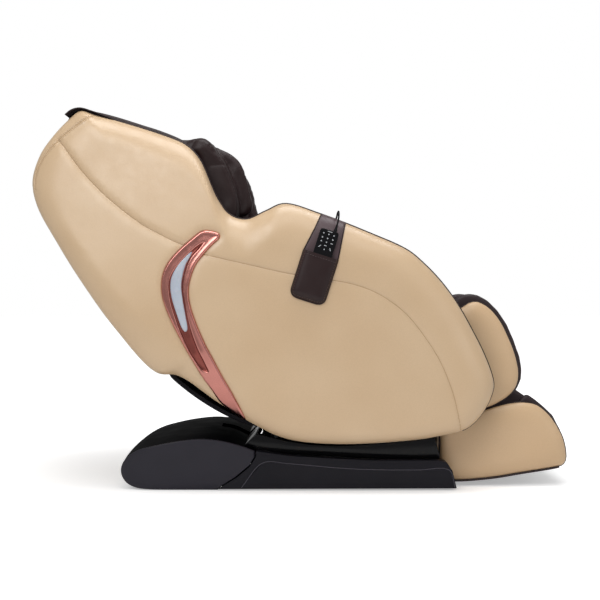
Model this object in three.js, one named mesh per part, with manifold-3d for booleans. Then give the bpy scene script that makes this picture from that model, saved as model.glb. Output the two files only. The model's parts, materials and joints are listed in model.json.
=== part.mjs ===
// A massage chair: tilting padded body on a rocker base, lifting calf and foot rest, massage carriage.
// Millimetres. +X points to the feet, +Z up, Y across (the sitter's left is +Y). Origin: middle of
// the chair on the floor. Side views are drawn as outlines in the XZ plane and extruded along Y.
import * as THREE from "three";
import { mergeVertices } from "three/addons/utils/BufferGeometryUtils.js";
import Module from "manifold-3d";

const wasm = await Module();
wasm.setup();

// ---- driving dimensions ------------------------------------------------------------------
const GAP = 0.3; // between pieces that touch
const HALF_WIDTH = 380; // outer face of the arm panels
const HEAD_HALF_WIDTH = 318; // the panels draw in towards the head
const INNER_PLANE = 262; // inner face of the side panels
const CROWN = 50; // how far a panel's rim lies inside its outer face
const PANEL_WALL = 12; // moulded side panel thickness
const PANEL_CENTRE = [-160, 489]; // the panel outline is star-shaped about this point
const PANEL_STEPS = 56; // points round a panel

const TILT_CENTRE = [100, 842]; // virtual axis of the rocking body
const COVER_R = 702; // outer radius of the curved underside
const RAIL_R = 709; // running face of the two rocker rails
const RAIL_Y = 150; // middle of each rail, and of its rollers
const ROLLER_R = 16;
const ROLLER_ANGLES = [-14, 20]; // degrees from straight below the tilt centre

const KNEE = [462, 480]; // calf rest pivot
const KNEE_SHAFT_R = 7;
const LEG_HALF_WIDTH = 245; // outer faces of the calf rest
const LEG_WALL_IN = 215; // its cheeks reach from here outwards
const FOOT_SLIDE = [0.17, -0.985]; // direction in which the foot unit runs out

const BASE_HALF_WIDTH = 310;
const SKIRT_IN = 255; // inner face of the two front skirts
const PEDESTAL_HALF_WIDTH = 270;

const HIP = [-105, 365]; // where seat and back meet
const UP_BACK = [-0.6, 0.8]; // unit vector up the backrest
const OFF_BACK = [0.8, 0.6]; // unit vector out of the backrest
const CARRIAGE_S = 300; // rest place of the massage carriage up the back

const TILT_ACTUATOR = [-212, 89]; // base pivot of the tilt actuator
const TILT_ROD_END = [309, 185]; // its pivot on the seat frame

const CORD_R = 2.5;

// ---- materials ---------------------------------------------------------------------------
const finish = (color, roughness, metalness = 0) =>
  new THREE.MeshStandardMaterial({ color, roughness, metalness });
const beige = finish(0xd4c0a5, 0.45);
const brown = finish(0x38292a, 0.5);
const linerBrown = finish(0x5a4a4c, 0.55);
const blackSatin = finish(0x25242a, 0.4);
const blackGloss = finish(0x14151a, 0.15);
const roseGold = finish(0xc3847d, 0.25, 1);
const lampWhite = finish(0xbcc3cd, 0.3);
const steel = finish(0x8d9095, 0.35, 1);
const darkSteel = finish(0x2a2b2e, 0.5, 0.8);
const rubber = finish(0x17171a, 0.9);

// ---- solids ------------------------------------------------------------------------------
function toSolid(geometry) {
  const bare = geometry.index ? geometry.toNonIndexed() : geometry.clone();
  bare.deleteAttribute("normal");
  bare.deleteAttribute("uv");
  const merged = mergeVertices(bare, 1e-4);
  return new wasm.Manifold(
    new wasm.Mesh({
      numProp: 3,
      vertProperties: new Float32Array(merged.attributes.position.array),
      triVerts: new Uint32Array(merged.index.array),
    }),
  );
}

function toGeometry(solid) {
  const { vertProperties, triVerts } = solid.getMesh();
  const geometry = new THREE.BufferGeometry();
  geometry.setAttribute("position", new THREE.BufferAttribute(vertProperties, 3));
  geometry.setIndex(new THREE.BufferAttribute(triVerts, 1));
  return geometry;
}

const join = (...solids) => solids.reduce((a, b) => a.add(b));

// An XZ outline extruded from y0 to y1.
function slab(outline, y0, y1) {
  const shape = new THREE.Shape(outline.map(([x, z]) => new THREE.Vector2(x, z)));
  const geometry = new THREE.ExtrudeGeometry(shape, { depth: y1 - y0, bevelEnabled: false });
  return toSolid(geometry.rotateX(Math.PI / 2).translate(0, y1, 0));
}

// The same outline on both sides, from |y| = y0 to |y| = y1, with what joins them.
const pair = (outline, y0, y1) => slab(outline, y0, y1).add(slab(outline, -y1, -y0));
const pairBox = (x0, x1, y0, y1, z0, z1) =>
  box(x0, x1, y0, y1, z0, z1).add(box(x0, x1, -y1, -y0, z0, z1));
const across = (outline, halfWidth) => slab(outline, -halfWidth, halfWidth);

const box = (x0, x1, y0, y1, z0, z1) =>
  slab([[x0, z0], [x1, z0], [x1, z1], [x0, z1]], y0, y1);

// A round bar along Y through an XZ point.
function bar([x, z], radius, y0, y1, sides = 20) {
  const geometry = new THREE.CylinderGeometry(radius, radius, y1 - y0, sides);
  return toSolid(geometry.translate(x, (y0 + y1) / 2, z));
}

// A round bar between two points in space.
function rod(from, to, radius, sides = 16) {
  const a = new THREE.Vector3(...from);
  const b = new THREE.Vector3(...to);
  const geometry = new THREE.CylinderGeometry(radius, radius, a.distanceTo(b), sides);
  const turn = new THREE.Quaternion().setFromUnitVectors(
    new THREE.Vector3(0, 1, 0),
    b.clone().sub(a).normalize(),
  );
  geometry.applyQuaternion(turn).translate(...a.add(b).multiplyScalar(0.5).toArray());
  return toSolid(geometry);
}

// A turned piece about a Y axis through an XZ point; profile rows are [radius, y].
function turned([x, z], profile, sides = 16) {
  const points = profile.map(([r, y]) => new THREE.Vector2(r, y));
  return toSolid(new THREE.LatheGeometry(points, sides).translate(x, 0, z));
}

// A point at an angle round the tilt centre, in degrees from straight down, +X positive.
const roundTilt = (radius, angle) => [
  TILT_CENTRE[0] + radius * Math.sin(THREE.MathUtils.degToRad(angle)),
  TILT_CENTRE[1] - radius * Math.cos(THREE.MathUtils.degToRad(angle)),
];

// An arc about the tilt centre. All arcs break at whole steps, so nested ones keep their gaps.
const ARC_STEP = 6;
function arc(radius, from, to) {
  const angles = [from];
  for (let a = (Math.floor(from / ARC_STEP) + 1) * ARC_STEP; a < to; a += ARC_STEP) angles.push(a);
  return [...angles, to].map((angle) => roundTilt(radius, angle));
}

const band = (inner, outer, from, to) => [
  ...arc(outer, from, to),
  ...arc(inner, from, to).reverse(),
];

// A smooth closed or open curve through hand-set points, as an outline.
function smooth(points, steps, closed = true) {
  const curve = new THREE.CatmullRomCurve3(
    points.map(([x, z]) => new THREE.Vector3(x, 0, z)), closed, "centripetal",
  );
  const places = curve.getSpacedPoints(steps).map((p) => [p.x, p.z]);
  return closed ? places.slice(0, steps) : places;
}

// Backrest coordinates: s up the back from the hip, d out of its surface.
const onBack = ([s, d]) => [
  HIP[0] + s * UP_BACK[0] + d * OFF_BACK[0],
  HIP[1] + s * UP_BACK[1] + d * OFF_BACK[1],
];
const backBox = (s0, s1, d0, d1) => [[s0, d1], [s0, d0], [s1, d0], [s1, d1]].map(onBack);

// A slot's outline: straight between two points, with round ends.
function capsule([from, to], radius, steps = 8) {
  const heading = Math.atan2(to[1] - from[1], to[0] - from[0]);
  const roundEnd = ([x, z], start) => Array.from({ length: steps + 1 }, (_, i) => {
    const angle = start + (Math.PI * i) / steps;
    return [x + radius * Math.cos(angle), z + radius * Math.sin(angle)];
  });
  return [...roundEnd(to, heading - Math.PI / 2), ...roundEnd(from, heading + Math.PI / 2)];
}

// An outline with its corners rounded off.
function rounded(outline, radius, steps = 4) {
  const out = [];
  outline.forEach((corner, i) => {
    const before = outline[(i + outline.length - 1) % outline.length];
    const after = outline[(i + 1) % outline.length];
    const c = new THREE.Vector2(...corner);
    const a = new THREE.Vector2(...before).sub(c);
    const b = new THREE.Vector2(...after).sub(c);
    const reach = Math.min(radius, a.length() / 2.1, b.length() / 2.1);
    const start = c.clone().addScaledVector(a.normalize(), reach);
    const end = c.clone().addScaledVector(b.normalize(), reach);
    const bend = new THREE.QuadraticBezierCurve(start, c, end);
    bend.getPoints(steps).forEach((p) => out.push([p.x, p.y]));
  });
  return out;
}

// ---- assembly ----------------------------------------------------------------------------
const chair = new THREE.Group();
chair.name = "massage_chair";

function piece(name, solid, material) {
  const mesh = new THREE.Mesh(toGeometry(solid), material);
  mesh.name = name;
  chair.add(mesh);
}

const mirrored = (solid) => solid.mirror([0, 1, 0]);

// The chair's left (+Y) copy is a mirror image of the right one.
function bothSides(name, rightSolid, material) {
  piece(`${name}_right`, rightSolid, material);
  piece(`${name}_left`, mirrored(rightSolid), material);
}

// ---- side panels -------------------------------------------------------------------------
const PANEL_OUTLINE = [
  [-640, 1094], [-596, 1081], [-540, 1066], [-408, 1024], [-335, 993], [-294, 951], [-241, 836],
  [-205, 789], [-158, 775], [-100, 799], [-50, 819], [53, 790], [195, 735], [303, 686],
  [350, 647], [395, 600], [441, 538], [486, 459], [519, 393], [541, 335], [547, 303],
  [539, 270], [517, 228], [487, 193], [460, 176], [400, 161], [337, 150], [108, 136], [-45, 152],
  [-149, 200], [-240, 256], [-350, 330], [-412, 339], [-528, 461], [-637, 608], [-702, 708],
  [-764, 817], [-779, 890], [-757, 966], [-720, 1020], [-677, 1066],
];

const smoothstep = (t) => {
  const c = THREE.MathUtils.clamp(t, 0, 1);
  return c * c * (3 - 2 * c);
};

// Half-width of the panels' outer face: full at the arms, less towards the head.
function outerFace(x, z) {
  const s = (x - HIP[0]) * UP_BACK[0] + (z - HIP[1]) * UP_BACK[1];
  return HALF_WIDTH - (HALF_WIDTH - HEAD_HALF_WIDTH) * smoothstep((s - 250) / 650);
}

// The right-hand panel's body, grown outwards by `grow` all round, from its inner plane out.
function panelBody(grow, innerPlane = INNER_PLANE) {
  const outline = smooth(PANEL_OUTLINE, PANEL_STEPS);
  const [cx, cz] = PANEL_CENTRE;
  const fractions = [1, 0.95, 0.86, 0.6];
  const ring = (fraction) =>
    outline.map(([x, z]) => {
      const reach = Math.hypot(x - cx, z - cz);
      const grown = ((reach + grow) / reach) * fraction;
      const inset = reach * (1 - fraction);
      const rounding = THREE.MathUtils.lerp(55, 120, smoothstep((z - 150) / 300));
      const t = Math.min(inset / rounding, 1);
      const drop = CROWN * (1 - Math.sqrt(1 - (1 - t) ** 2));
      const px = cx + (x - cx) * grown;
      const pz = cz + (z - cz) * grown;
      return [px, -(outerFace(px, pz) - drop + grow), pz];
    });
  const rings = [ring(1).map(([x, , z]) => [x, -innerPlane, z]), ...fractions.map(ring)];
  const vertices = rings.flat();
  const n = PANEL_STEPS;
  const innerHub = vertices.push([cx, -innerPlane, cz]) - 1;
  const outerHub = vertices.push([cx, -(outerFace(cx, cz) + grow), cz]) - 1;
  const faces = [];
  for (let i = 0; i < n; i++) {
    const j = (i + 1) % n;
    faces.push([innerHub, i, j]);
    for (let k = 0; k + 1 < rings.length; k++) {
      faces.push([k * n + i, (k + 1) * n + i, k * n + j]);
      faces.push([k * n + j, (k + 1) * n + i, (k + 1) * n + j]);
    }
    const last = (rings.length - 1) * n;
    faces.push([outerHub, last + j, last + i]);
  }
  const geometry = new THREE.BufferGeometry();
  geometry.setAttribute("position", new THREE.Float32BufferAttribute(vertices.flat(), 3));
  geometry.setIndex(faces.flat());
  return toSolid(geometry);
}

// Rose-gold strip: a boomerang from the shoulder to the underside, with a lamp let into it.
const STRIP_OUTLINE = [
  ...smooth([[-231, 732], [-276, 742], [-310, 718], [-372, 656], [-394, 592], [-384, 530],
    [-340, 436], [-280, 330], [-229, 256]], 20, false),
  [-166, 216],
  ...smooth([[-170, 240], [-220, 330], [-270, 425], [-306, 514], [-315, 580], [-299, 640],
    [-231, 721]], 16, false),
];
const LENS_OUTLINE = [
  ...smooth([[-304, 681], [-330, 641], [-337, 590], [-330, 520], [-316, 466]], 10, false),
  ...smooth([[-324, 462], [-350, 505], [-372, 567], [-372, 615], [-350, 652], [-313, 681]], 12, false),
];

const farOut = (outline) => slab(outline, -460, -INNER_PLANE);
// An outline with every edge moved outwards, its corners mitred.
const grownOutline = (outline, by) => {
  const shape = outline.map(([x, z]) => new THREE.Vector2(x, z));
  const turn = THREE.ShapeUtils.isClockWise(shape) ? -1 : 1;
  const outward = (from, to) => {
    const along = to.clone().sub(from).normalize();
    return new THREE.Vector2(along.y * turn, -along.x * turn);
  };
  return shape.map((p, i) => {
    const n1 = outward(shape[(i + shape.length - 1) % shape.length], p);
    const n2 = outward(p, shape[(i + 1) % shape.length]);
    const miter = n1.clone().add(n2).multiplyScalar(by / Math.max(1 + n1.dot(n2), 0.25));
    return [p.x + miter.x, p.y + miter.y];
  });
};

const panel = panelBody(0);
const panelHollow = panelBody(-PANEL_WALL, INNER_PLANE - 10);
const STRIP_DEPTH = 6;
const stripBed = panelBody(-STRIP_DEPTH, INNER_PLANE - 20);
const stripFace = panelBody(4);
const TRIM_GAP = 0.8;
const stripPocket = farOut(grownOutline(STRIP_OUTLINE, TRIM_GAP))
  .subtract(panelBody(-STRIP_DEPTH - TRIM_GAP, 200));
const lensPocket = farOut(grownOutline(LENS_OUTLINE, TRIM_GAP)).subtract(panelBody(-2, 200));

const sidePanel = panel.subtract(panelHollow).subtract(stripPocket);
bothSides("side_shell", sidePanel, beige);

const strip = farOut(STRIP_OUTLINE).intersect(stripFace).subtract(stripBed).subtract(lensPocket);
bothSides("trim_strip", strip, roseGold);
const lens = farOut(LENS_OUTLINE).intersect(panelBody(3)).subtract(panelBody(-2 + GAP, 200));
bothSides("lamp_lens", lens, lampWhite);

// ---- rear shell and curved underside -----------------------------------------------------
const BACK_SKIN_OUT = smooth([[-703, 1034], [-740, 981], [-765, 889], [-741, 795], [-634, 626],
  [-523, 472], [-416, 355]], 24, false);
const BACK_SKIN_IN = smooth([[-405, 363], [-512, 481], [-623, 635], [-728, 800], [-751, 889],
  [-727, 974], [-692, 1024]], 24, false);
piece("back_shell", across([...BACK_SKIN_OUT, ...BACK_SKIN_IN], INNER_PLANE - GAP), beige);

const COVER_ENDS = [-45, -18];
const ACTUATOR_SLOT = 42; // half-width of the slot that the tilt actuator swings through
const coverBand = across(band(COVER_R - 6, COVER_R, ...COVER_ENDS), INNER_PLANE - GAP);
const coverSlot = across(band(640, 740, COVER_ENDS[0] + 2, 10), ACTUATOR_SLOT);
piece("lower_back_cover", coverBand.subtract(coverSlot), blackSatin);

// ---- seat frame: rocker beams, cross tubes, knee ears, actuator lugs ----------------------
const BEAM_IN = 660;
const beams = join(
  pair(band(BEAM_IN, COVER_R - 6 - GAP, -44, 24), RAIL_Y - 9, RAIL_Y + 9),
  pair(band(BEAM_IN + 10, COVER_R - 1, COVER_ENDS[1] + 0.5, 24), RAIL_Y - 9, RAIL_Y + 9),
);
const EAR_IN = 256;
const EAR_OUT = 261.5;
const EAR = [[330, 196], [380, 196], [392, 330], [398, 420], [466, 468], [474, 480], [466, 492],
  [450, 492], [372, 440], [352, 330]];
const ears = pair(rounded(EAR, 5, 2), EAR_IN, EAR_OUT);
// The middle cross tube stops short of the centre, where the tilt actuator swings past it.
const ACTUATOR_LANE = 44;
const crossTubes = join(
  across(band(662, 690, -43.5, -41.5), EAR_OUT),
  pair(band(662, 690, -22, -19.8), ACTUATOR_LANE, EAR_OUT),
  across(band(664, 694, 21, 23.5), EAR_OUT),
);
const seatRails = pair([[-160, 298], [-160, 268], [372, 298], [372, 330]], RAIL_Y - 8, RAIL_Y + 8);
const seatPosts = join(
  pair([[-150, 290], [-128, 290], [-118, 210], [-140, 210]], RAIL_Y - 8, RAIL_Y + 8),
  pair([[340, 320], [362, 320], [362, 210], [340, 210]], RAIL_Y - 8, RAIL_Y + 8),
  across([[350, 302], [372, 302], [372, 330], [350, 330]], EAR_OUT),
);
// The rod's pin sits in slots, because it drifts along them while the body tilts.
const PIN_R = 6;
const PIN_DRIFT = [[-2.9, 6.1], [2.5, -6.3]];
const pinSlot = capsule(
  PIN_DRIFT.map(([dx, dz]) => [TILT_ROD_END[0] + dx, TILT_ROD_END[1] + dz]), PIN_R + 1,
);
const lug = rounded([[290, 182], [296, 168], [310, 161], [324, 166], [334, 180], [372, 216],
  [356, 236], [322, 226], [296, 206]], 4, 2);
const lugs = pair(lug, 15, 21);
const rockerRails = pair(band(COVER_R + GAP, RAIL_R, -44, 24), RAIL_Y - 8, RAIL_Y + 8);
const railWeld = pair(band(COVER_R - 2, COVER_R + 1, COVER_ENDS[1] + 1, 23), RAIL_Y - 6, RAIL_Y + 6);
const kneeShaft = bar(KNEE, KNEE_SHAFT_R, -EAR_OUT, EAR_OUT);
const seatFrame = join(beams, ears, crossTubes, seatRails, seatPosts, lugs, rockerRails, railWeld)
  .add(kneeShaft)
  .subtract(across(pinSlot, 60));
piece("seat_frame", seatFrame, darkSteel);

// ---- base --------------------------------------------------------------------------------
const REAR_TOP = [
  ...smooth([[-517, 56], [-509, 80], [-477, 110], [-416, 129], [-339, 143], [-282, 147],
    [-225, 141], [-164, 125]], 20, false),
  [-133, 113],
];
const REAR_GAP_LINE = [[-133, 98], [-150, 70], [-190, 37], [-228, 13], [-245, 5]];
const rearOutline = [...REAR_TOP, ...REAR_GAP_LINE, [-463, 8], [-492, 22]];
const SHELL_WALL = 5;
const rearInner = [[-511, 56], [-504, 77], [-474, 107], [-415, 123], [-339, 138], [-282, 142],
  [-226, 136], [-165, 120], [-100, 105], [-100, -20], [-460, -20], [-488, 26]];
const SWITCH_Y = -60;
const INLET_Y = 60;
const MAINS_Z = 66;
const WHEEL_Y = 153;
const rearShell = across(rearOutline, BASE_HALF_WIDTH)
  .subtract(across(rearInner, BASE_HALF_WIDTH - SHELL_WALL))
  .subtract(box(-540, -480, SWITCH_Y - 11, SWITCH_Y + 11, MAINS_Z - 8, MAINS_Z + 8))
  .subtract(box(-540, -480, INLET_Y - 16 - GAP, INLET_Y + 16 + GAP, MAINS_Z - 12 - GAP, MAINS_Z + 12 + GAP))
  .subtract(pairBox(-540, -452, WHEEL_Y - 15, WHEEL_Y + 15, -20, 56))
  .subtract(box(-250, -100, -ACTUATOR_SLOT, ACTUATOR_SLOT, 60, 200));
piece("base_rear_shell", rearShell, blackSatin);

const FRONT_TOP = [[-130, 112], [-36, 99], [139, 89], [210, 86], [398, 86]];
const frontOutline = [...FRONT_TOP, [417, 80], [433, 56], [445, 6], [-240, 4], [-186, 36], [-147, 69],
  [-130, 97]];
const frontInner = [[-100, 105], [-36, 94], [139, 84], [210, 81], [398, 81], [413, 76], [428, 54],
  [439, -20], [-400, -20], [-186, 28], [-143, 66], [-120, 97]];
const CROSS_WALL = [388, 394];
const frontShell = join(
  pair(frontOutline, SKIRT_IN, BASE_HALF_WIDTH),
  box(CROSS_WALL[0], CROSS_WALL[1], -SKIRT_IN - 2, SKIRT_IN + 2, 8, 85),
).subtract(pair(frontInner, SKIRT_IN + SHELL_WALL, BASE_HALF_WIDTH - SHELL_WALL));
piece("base_front_shell", frontShell, blackSatin);

const lift = (outline, dz) => outline.map(([x, z]) => [x, z + dz]);
const pedestalTop = [[-131, 158], ...arc(RAIL_R + 10, -12, 4), [220, 131], [387, 146]];
const pedestalOutline = [[-164, 126], ...pedestalTop, [403, 88], ...lift(FRONT_TOP, 0.5).reverse(),
  [-133, 114]];
const pedestalCore = [[-158, 100], [-158, 128], [-128, 154], [-100, 220], [360, 220], [381, 146],
  [397, 80], [-100, 60]];
const pedestal = across(pedestalOutline, PEDESTAL_HALF_WIDTH)
  .subtract(across(pedestalCore, PEDESTAL_HALF_WIDTH - SHELL_WALL))
  .subtract(box(-200, -100, -ACTUATOR_SLOT, ACTUATOR_SLOT, 60, 200));
piece("pedestal_cover", pedestal, blackGloss);

const rollerCentres = ROLLER_ANGLES.map((angle) => roundTilt(RAIL_R + GAP + ROLLER_R, angle));
const cheekFor = ([x, z]) =>
  rounded([[x - 34, 20], [x + 34, 20], [x + 12, z + 11], [x - 12, z + 11]], 8, 2);
const cheeks = rollerCentres.map((centre) =>
  join(
    pair(cheekFor(centre), RAIL_Y + 11, RAIL_Y + 17),
    pair(cheekFor(centre), RAIL_Y - 17, RAIL_Y - 11),
  ).subtract(bar(centre, 6 + GAP, -300, 300)));
const actuatorEars = pair(rounded([[-240, 20], [-180, 20], [-200, 100], [-224, 100]], 8, 3), 20, 26)
  .subtract(bar(TILT_ACTUATOR, 7 + GAP, -60, 60));
const baseFrame = join(
  pairBox(-452, 384, RAIL_Y - 20, RAIL_Y + 20, 12, 42),
  box(-452, -422, -215, 215, 12, 42),
  box(-240, -180, -RAIL_Y, RAIL_Y, 12, 36),
  box(330, 384, -240, 240, 12, 42),
  ...cheeks,
  actuatorEars,
);
piece("base_frame", baseFrame, darkSteel);

const PAD_TOP = 12 - GAP;
piece("floor_pad_rear", box(-450, -424, -205, 205, 0, PAD_TOP), rubber);
piece("floor_pad_front", box(335, 380, -235, 235, 0, PAD_TOP), rubber);

const WHEEL_AXIS = [-478, 30];
const wheelHalf = [[5, WHEEL_Y - 11], [18, WHEEL_Y - 11], [21, WHEEL_Y - 7], [21, WHEEL_Y + 7],
  [18, WHEEL_Y + 11], [5, WHEEL_Y + 11], [5, WHEEL_Y + 17], [0, WHEEL_Y + 17]];
const wheelProfile = [...wheelHalf.map(([r, y]) => [r, -y]).reverse(), ...wheelHalf];
piece("transport_wheels", turned(WHEEL_AXIS, wheelProfile, 16), rubber);

piece("control_box", box(-400, -290, -90, 90, 46, 105), darkSteel);
const inletBody = box(-516, -494, INLET_Y - 16, INLET_Y + 16, MAINS_Z - 12, MAINS_Z + 12)
  .subtract(box(-530, -506, INLET_Y - 11, INLET_Y + 11, MAINS_Z - 7, MAINS_Z + 7));
piece("power_inlet", inletBody, blackSatin);
const SWITCH_AXIS = [-506, MAINS_Z];
const rocker = bar(SWITCH_AXIS, 7, SWITCH_Y - 10, SWITCH_Y + 10, 24)
  .subtract(box(-530, -511, SWITCH_Y - 12, SWITCH_Y + 12, MAINS_Z - 20, MAINS_Z + 20));
piece("power_switch", rocker, blackGloss);

// The rollers turn on stub axles in the cheeks.
const rollerProfile = (side) => {
  const half = [[0, 17], [6, 17], [6, 9.5], [ROLLER_R - 1, 9.5], [ROLLER_R, 8.5]];
  const other = [...half].reverse().map(([r, y]) => [r, -y]);
  return [...half, ...other].reverse().map(([r, y]) => [r, y + side * RAIL_Y]);
};
rollerCentres.forEach((centre, i) => {
  const end = i === 0 ? "rear" : "front";
  piece(`track_roller_${end}_right`, turned(centre, rollerProfile(-1)), steel);
  piece(`track_roller_${end}_left`, turned(centre, rollerProfile(1)), steel);
});

// ---- tilt actuator -----------------------------------------------------------------------
const actuatorRun = new THREE.Vector2(...TILT_ROD_END).sub(new THREE.Vector2(...TILT_ACTUATOR));
const ACTUATOR_LENGTH = actuatorRun.length();
actuatorRun.normalize();
const alongActuator = (distance, y = 0) => [
  TILT_ACTUATOR[0] + actuatorRun.x * distance, y, TILT_ACTUATOR[1] + actuatorRun.y * distance,
];
const TUBE_END = 440;
const actuatorBore = rod(alongActuator(60), alongActuator(TUBE_END + 10), 11.5);
const actuatorBody = join(
  rod(alongActuator(14), alongActuator(TUBE_END), 20, 24),
  bar(TILT_ACTUATOR, 18, -19, 19),
  bar(TILT_ACTUATOR, 7, -27, 27),
  rod(alongActuator(70, 10), alongActuator(70, 38), 18, 20),
).subtract(actuatorBore);
piece("tilt_actuator", actuatorBody, darkSteel);
const rodPiece = join(
  rod(alongActuator(90), alongActuator(ACTUATOR_LENGTH - 8), 11),
  bar(TILT_ROD_END, 14, -14, 14),
  bar(TILT_ROD_END, PIN_R, -22, 22),
);
piece("tilt_rod", rodPiece, steel);

// ---- back: track, carriage, massage arms and heads ----------------------------------------
const TRACK_S = [80, 700];
const beamSpace = pair(band(BEAM_IN - GAP, COVER_R, -50, 0), RAIL_Y - 10, RAIL_Y + 10);
const trackFrame = join(
  pair(backBox(...TRACK_S, -175, -145), 121, 127),
  across(backBox(TRACK_S[0], TRACK_S[0] + 24, -175, -145), INNER_PLANE - 1),
  across(backBox(TRACK_S[1] - 24, TRACK_S[1], -185, -145), 240),
  pair(backBox(40, TRACK_S[0] + 2, -180, -150), RAIL_Y - 9, RAIL_Y + 9).subtract(beamSpace),
);
piece("massage_track", trackFrame, steel);

const carriage = join(
  across(backBox(CARRIAGE_S - 70, CARRIAGE_S + 70, -215, -180), 100),
  across(backBox(CARRIAGE_S - 60, CARRIAGE_S + 60, -181, -156), 119),
).subtract(across(backBox(CARRIAGE_S - 46, CARRIAGE_S + 46, -176, -140), 96));
const ARM_PIVOT = onBack([CARRIAGE_S, -160]);
const armPins = join(bar(ARM_PIVOT, 5, 91, 97), bar(ARM_PIVOT, 5, -97, -91));
piece("massage_carriage", carriage.add(armPins), darkSteel);

const HEAD_REACH = 56;
const headPlace = (end) => onBack([CARRIAGE_S + end * HEAD_REACH, -124]);
const armSpine = [[-70, -120], [-56, -110], [-42, -120], [-12, -150], [12, -150], [42, -120],
  [56, -110], [70, -120], [70, -132], [14, -168], [-14, -168], [-70, -132]]
  .map(([s, d]) => onBack([CARRIAGE_S + s, d]));
const armRight = join(
  slab(armSpine, -60, -52),
  bar(ARM_PIVOT, 9, -94, -52),
  bar(headPlace(1), 5, -86, -52),
  bar(headPlace(-1), 5, -86, -52),
).subtract(bar(ARM_PIVOT, 5 + GAP, -100, -90));
bothSides("massage_arm", armRight, darkSteel);
const headProfile = [[5 + GAP, -84], [14, -84], [19, -79], [20, -74], [19, -69], [14, -62],
  [5 + GAP, -62], [5 + GAP, -84]];
[["upper", 1], ["lower", -1]].forEach(([word, end]) =>
  bothSides(`massage_head_${word}`, turned(headPlace(end), headProfile), linerBrown));

// ---- padding -----------------------------------------------------------------------------
const CUSHION_HALF = 194;
piece("back_cushion", across(rounded(backBox(26, 780, -92, 0), 26), CUSHION_HALF), brown);
piece("head_pillow", across(rounded(backBox(610, 765, 0.5, 58), 26), 150), brown);
const headPanel = [[878, -56], [912, -48], [924, -20], [912, 18], [890, 40], [868, 42], [796, 6],
  [796, -56]].map(onBack);
const HEAD_PANEL_STEP = 866;
const headPad = join(
  across(headPanel, CUSHION_HALF),
  across(headPanel, INNER_PLANE - GAP).subtract(across(backBox(700, HEAD_PANEL_STEP, -200, 200), 300)),
);
piece("head_pad", headPad, brown);

const wingOutline = [[378, -40], [372, 150], [385, 196], [440, 232], [494, 248], [546, 260],
  [600, 254], [656, 207], [740, 128], [862, 36], [862, -60]].map(onBack);
const wingBulge = [[372, 90], [372, 240], [463, 280], [504, 294], [556, 290], [602, 258], [640, 205],
  [640, 90]].map(onBack);
const wing = join(
  slab(rounded(wingOutline, 20, 3), -INNER_PLANE + GAP, -224),
  slab(rounded(wingBulge, 24, 3), -225, -CUSHION_HALF - 1),
);
bothSides("shoulder_pad", wing, brown);

const SEAT_TOP = [[-122, 370], [60, 398], [220, 424], [340, 446], [366, 448]];
const seatOutline = [...SEAT_TOP, [378, 436], [380, 400], [366, 372], [340, 352], [-60, 306],
  [-108, 303], [-128, 322]];
piece("seat_cushion", across(seatOutline, 203), brown);

const ARM_PAD = [[-150, 420], [-205, 560], [-205, 700], [-160, 764], [-100, 789], [-50, 809],
  [50, 780], [190, 725], [296, 678], [352, 620], [366, 560], [366, 462], [300, 440], [60, 396],
  [-90, 366]];
bothSides("arm_pad", slab(rounded(ARM_PAD, 24, 3), -EAR_IN + 0.5, -204), brown);

// ---- calf rest ---------------------------------------------------------------------------
const CALF_SIDE = [[410, 240], [540, 228], [587, 248], [617, 272], [633, 297], [637, 330],
  [634, 360], [624, 396], [607, 438], [586, 480], [560, 514], [535, 533], [514, 539], [493, 535],
  [474, 524], [450, 512], [428, 500], [410, 470]];
const calfShaft = bar(KNEE, KNEE_SHAFT_R + GAP, -300, 300);
const GUIDE_TOP = [440, 400];
const GUIDE_LENGTH = 300;
const GUIDE_Y = 110;
const GUIDE_R = 7;
const onGuide = (distance, y) => [
  GUIDE_TOP[0] + FOOT_SLIDE[0] * distance, y, GUIDE_TOP[1] + FOOT_SLIDE[1] * distance,
];
const guides = (radius, from, to) => join(
  rod(onGuide(from, -GUIDE_Y), onGuide(to, -GUIDE_Y), radius),
  rod(onGuide(from, GUIDE_Y), onGuide(to, GUIDE_Y), radius),
);
const calfShell = join(
  pair(CALF_SIDE, LEG_WALL_IN, LEG_HALF_WIDTH),
  across([[410, 240], [422, 239], [422, 470], [410, 470]], LEG_WALL_IN + 1),
  across([[410, 240], [540, 228], [540, 240], [410, 252]], LEG_WALL_IN + 1),
).subtract(calfShaft).subtract(guides(GUIDE_R + 1, -10, GUIDE_LENGTH));
piece("calf_shell", calfShell, beige);

const CALF_PAD = [[424, 254], [540, 242], [600, 250], [638, 281], [650, 308], [653, 337],
  [647, 376], [629, 428], [608, 475], [582, 514], [552, 544], [522, 561], [496, 565], [474, 561],
  [452, 548], [424, 500]];
const CALF_TROUGH = [[380, 520], [440, 524], [475, 524], [515, 512], [548, 474], [564, 410],
  [566, 330], [556, 200], [720, 200], [720, 640], [380, 640]];
const TROUGH = [24, 188]; // the two leg troughs lie from |y| = 24 to |y| = 188
const motorHousing = join(
  bar(KNEE, 32, -22, 22, 24),
  rod([KNEE[0], 0, KNEE[1]], [KNEE[0] + 20, 0, KNEE[1] - 130], 22),
);
const motorSpace = join(
  bar(KNEE, 32 + GAP, -22.5, 22.5, 24),
  rod([KNEE[0], 0, KNEE[1]], [KNEE[0] + 20, 0, KNEE[1] - 131], 22.5),
);
const calfPad = across(CALF_PAD, LEG_WALL_IN - GAP)
  .subtract(pair(CALF_TROUGH, ...TROUGH))
  .subtract(calfShaft)
  .subtract(motorSpace)
  .subtract(guides(GUIDE_R + 2, -15, GUIDE_LENGTH));
piece("calf_liner", calfPad, linerBrown);
piece("leg_lift_motor", motorHousing.subtract(calfShaft), darkSteel);

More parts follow.
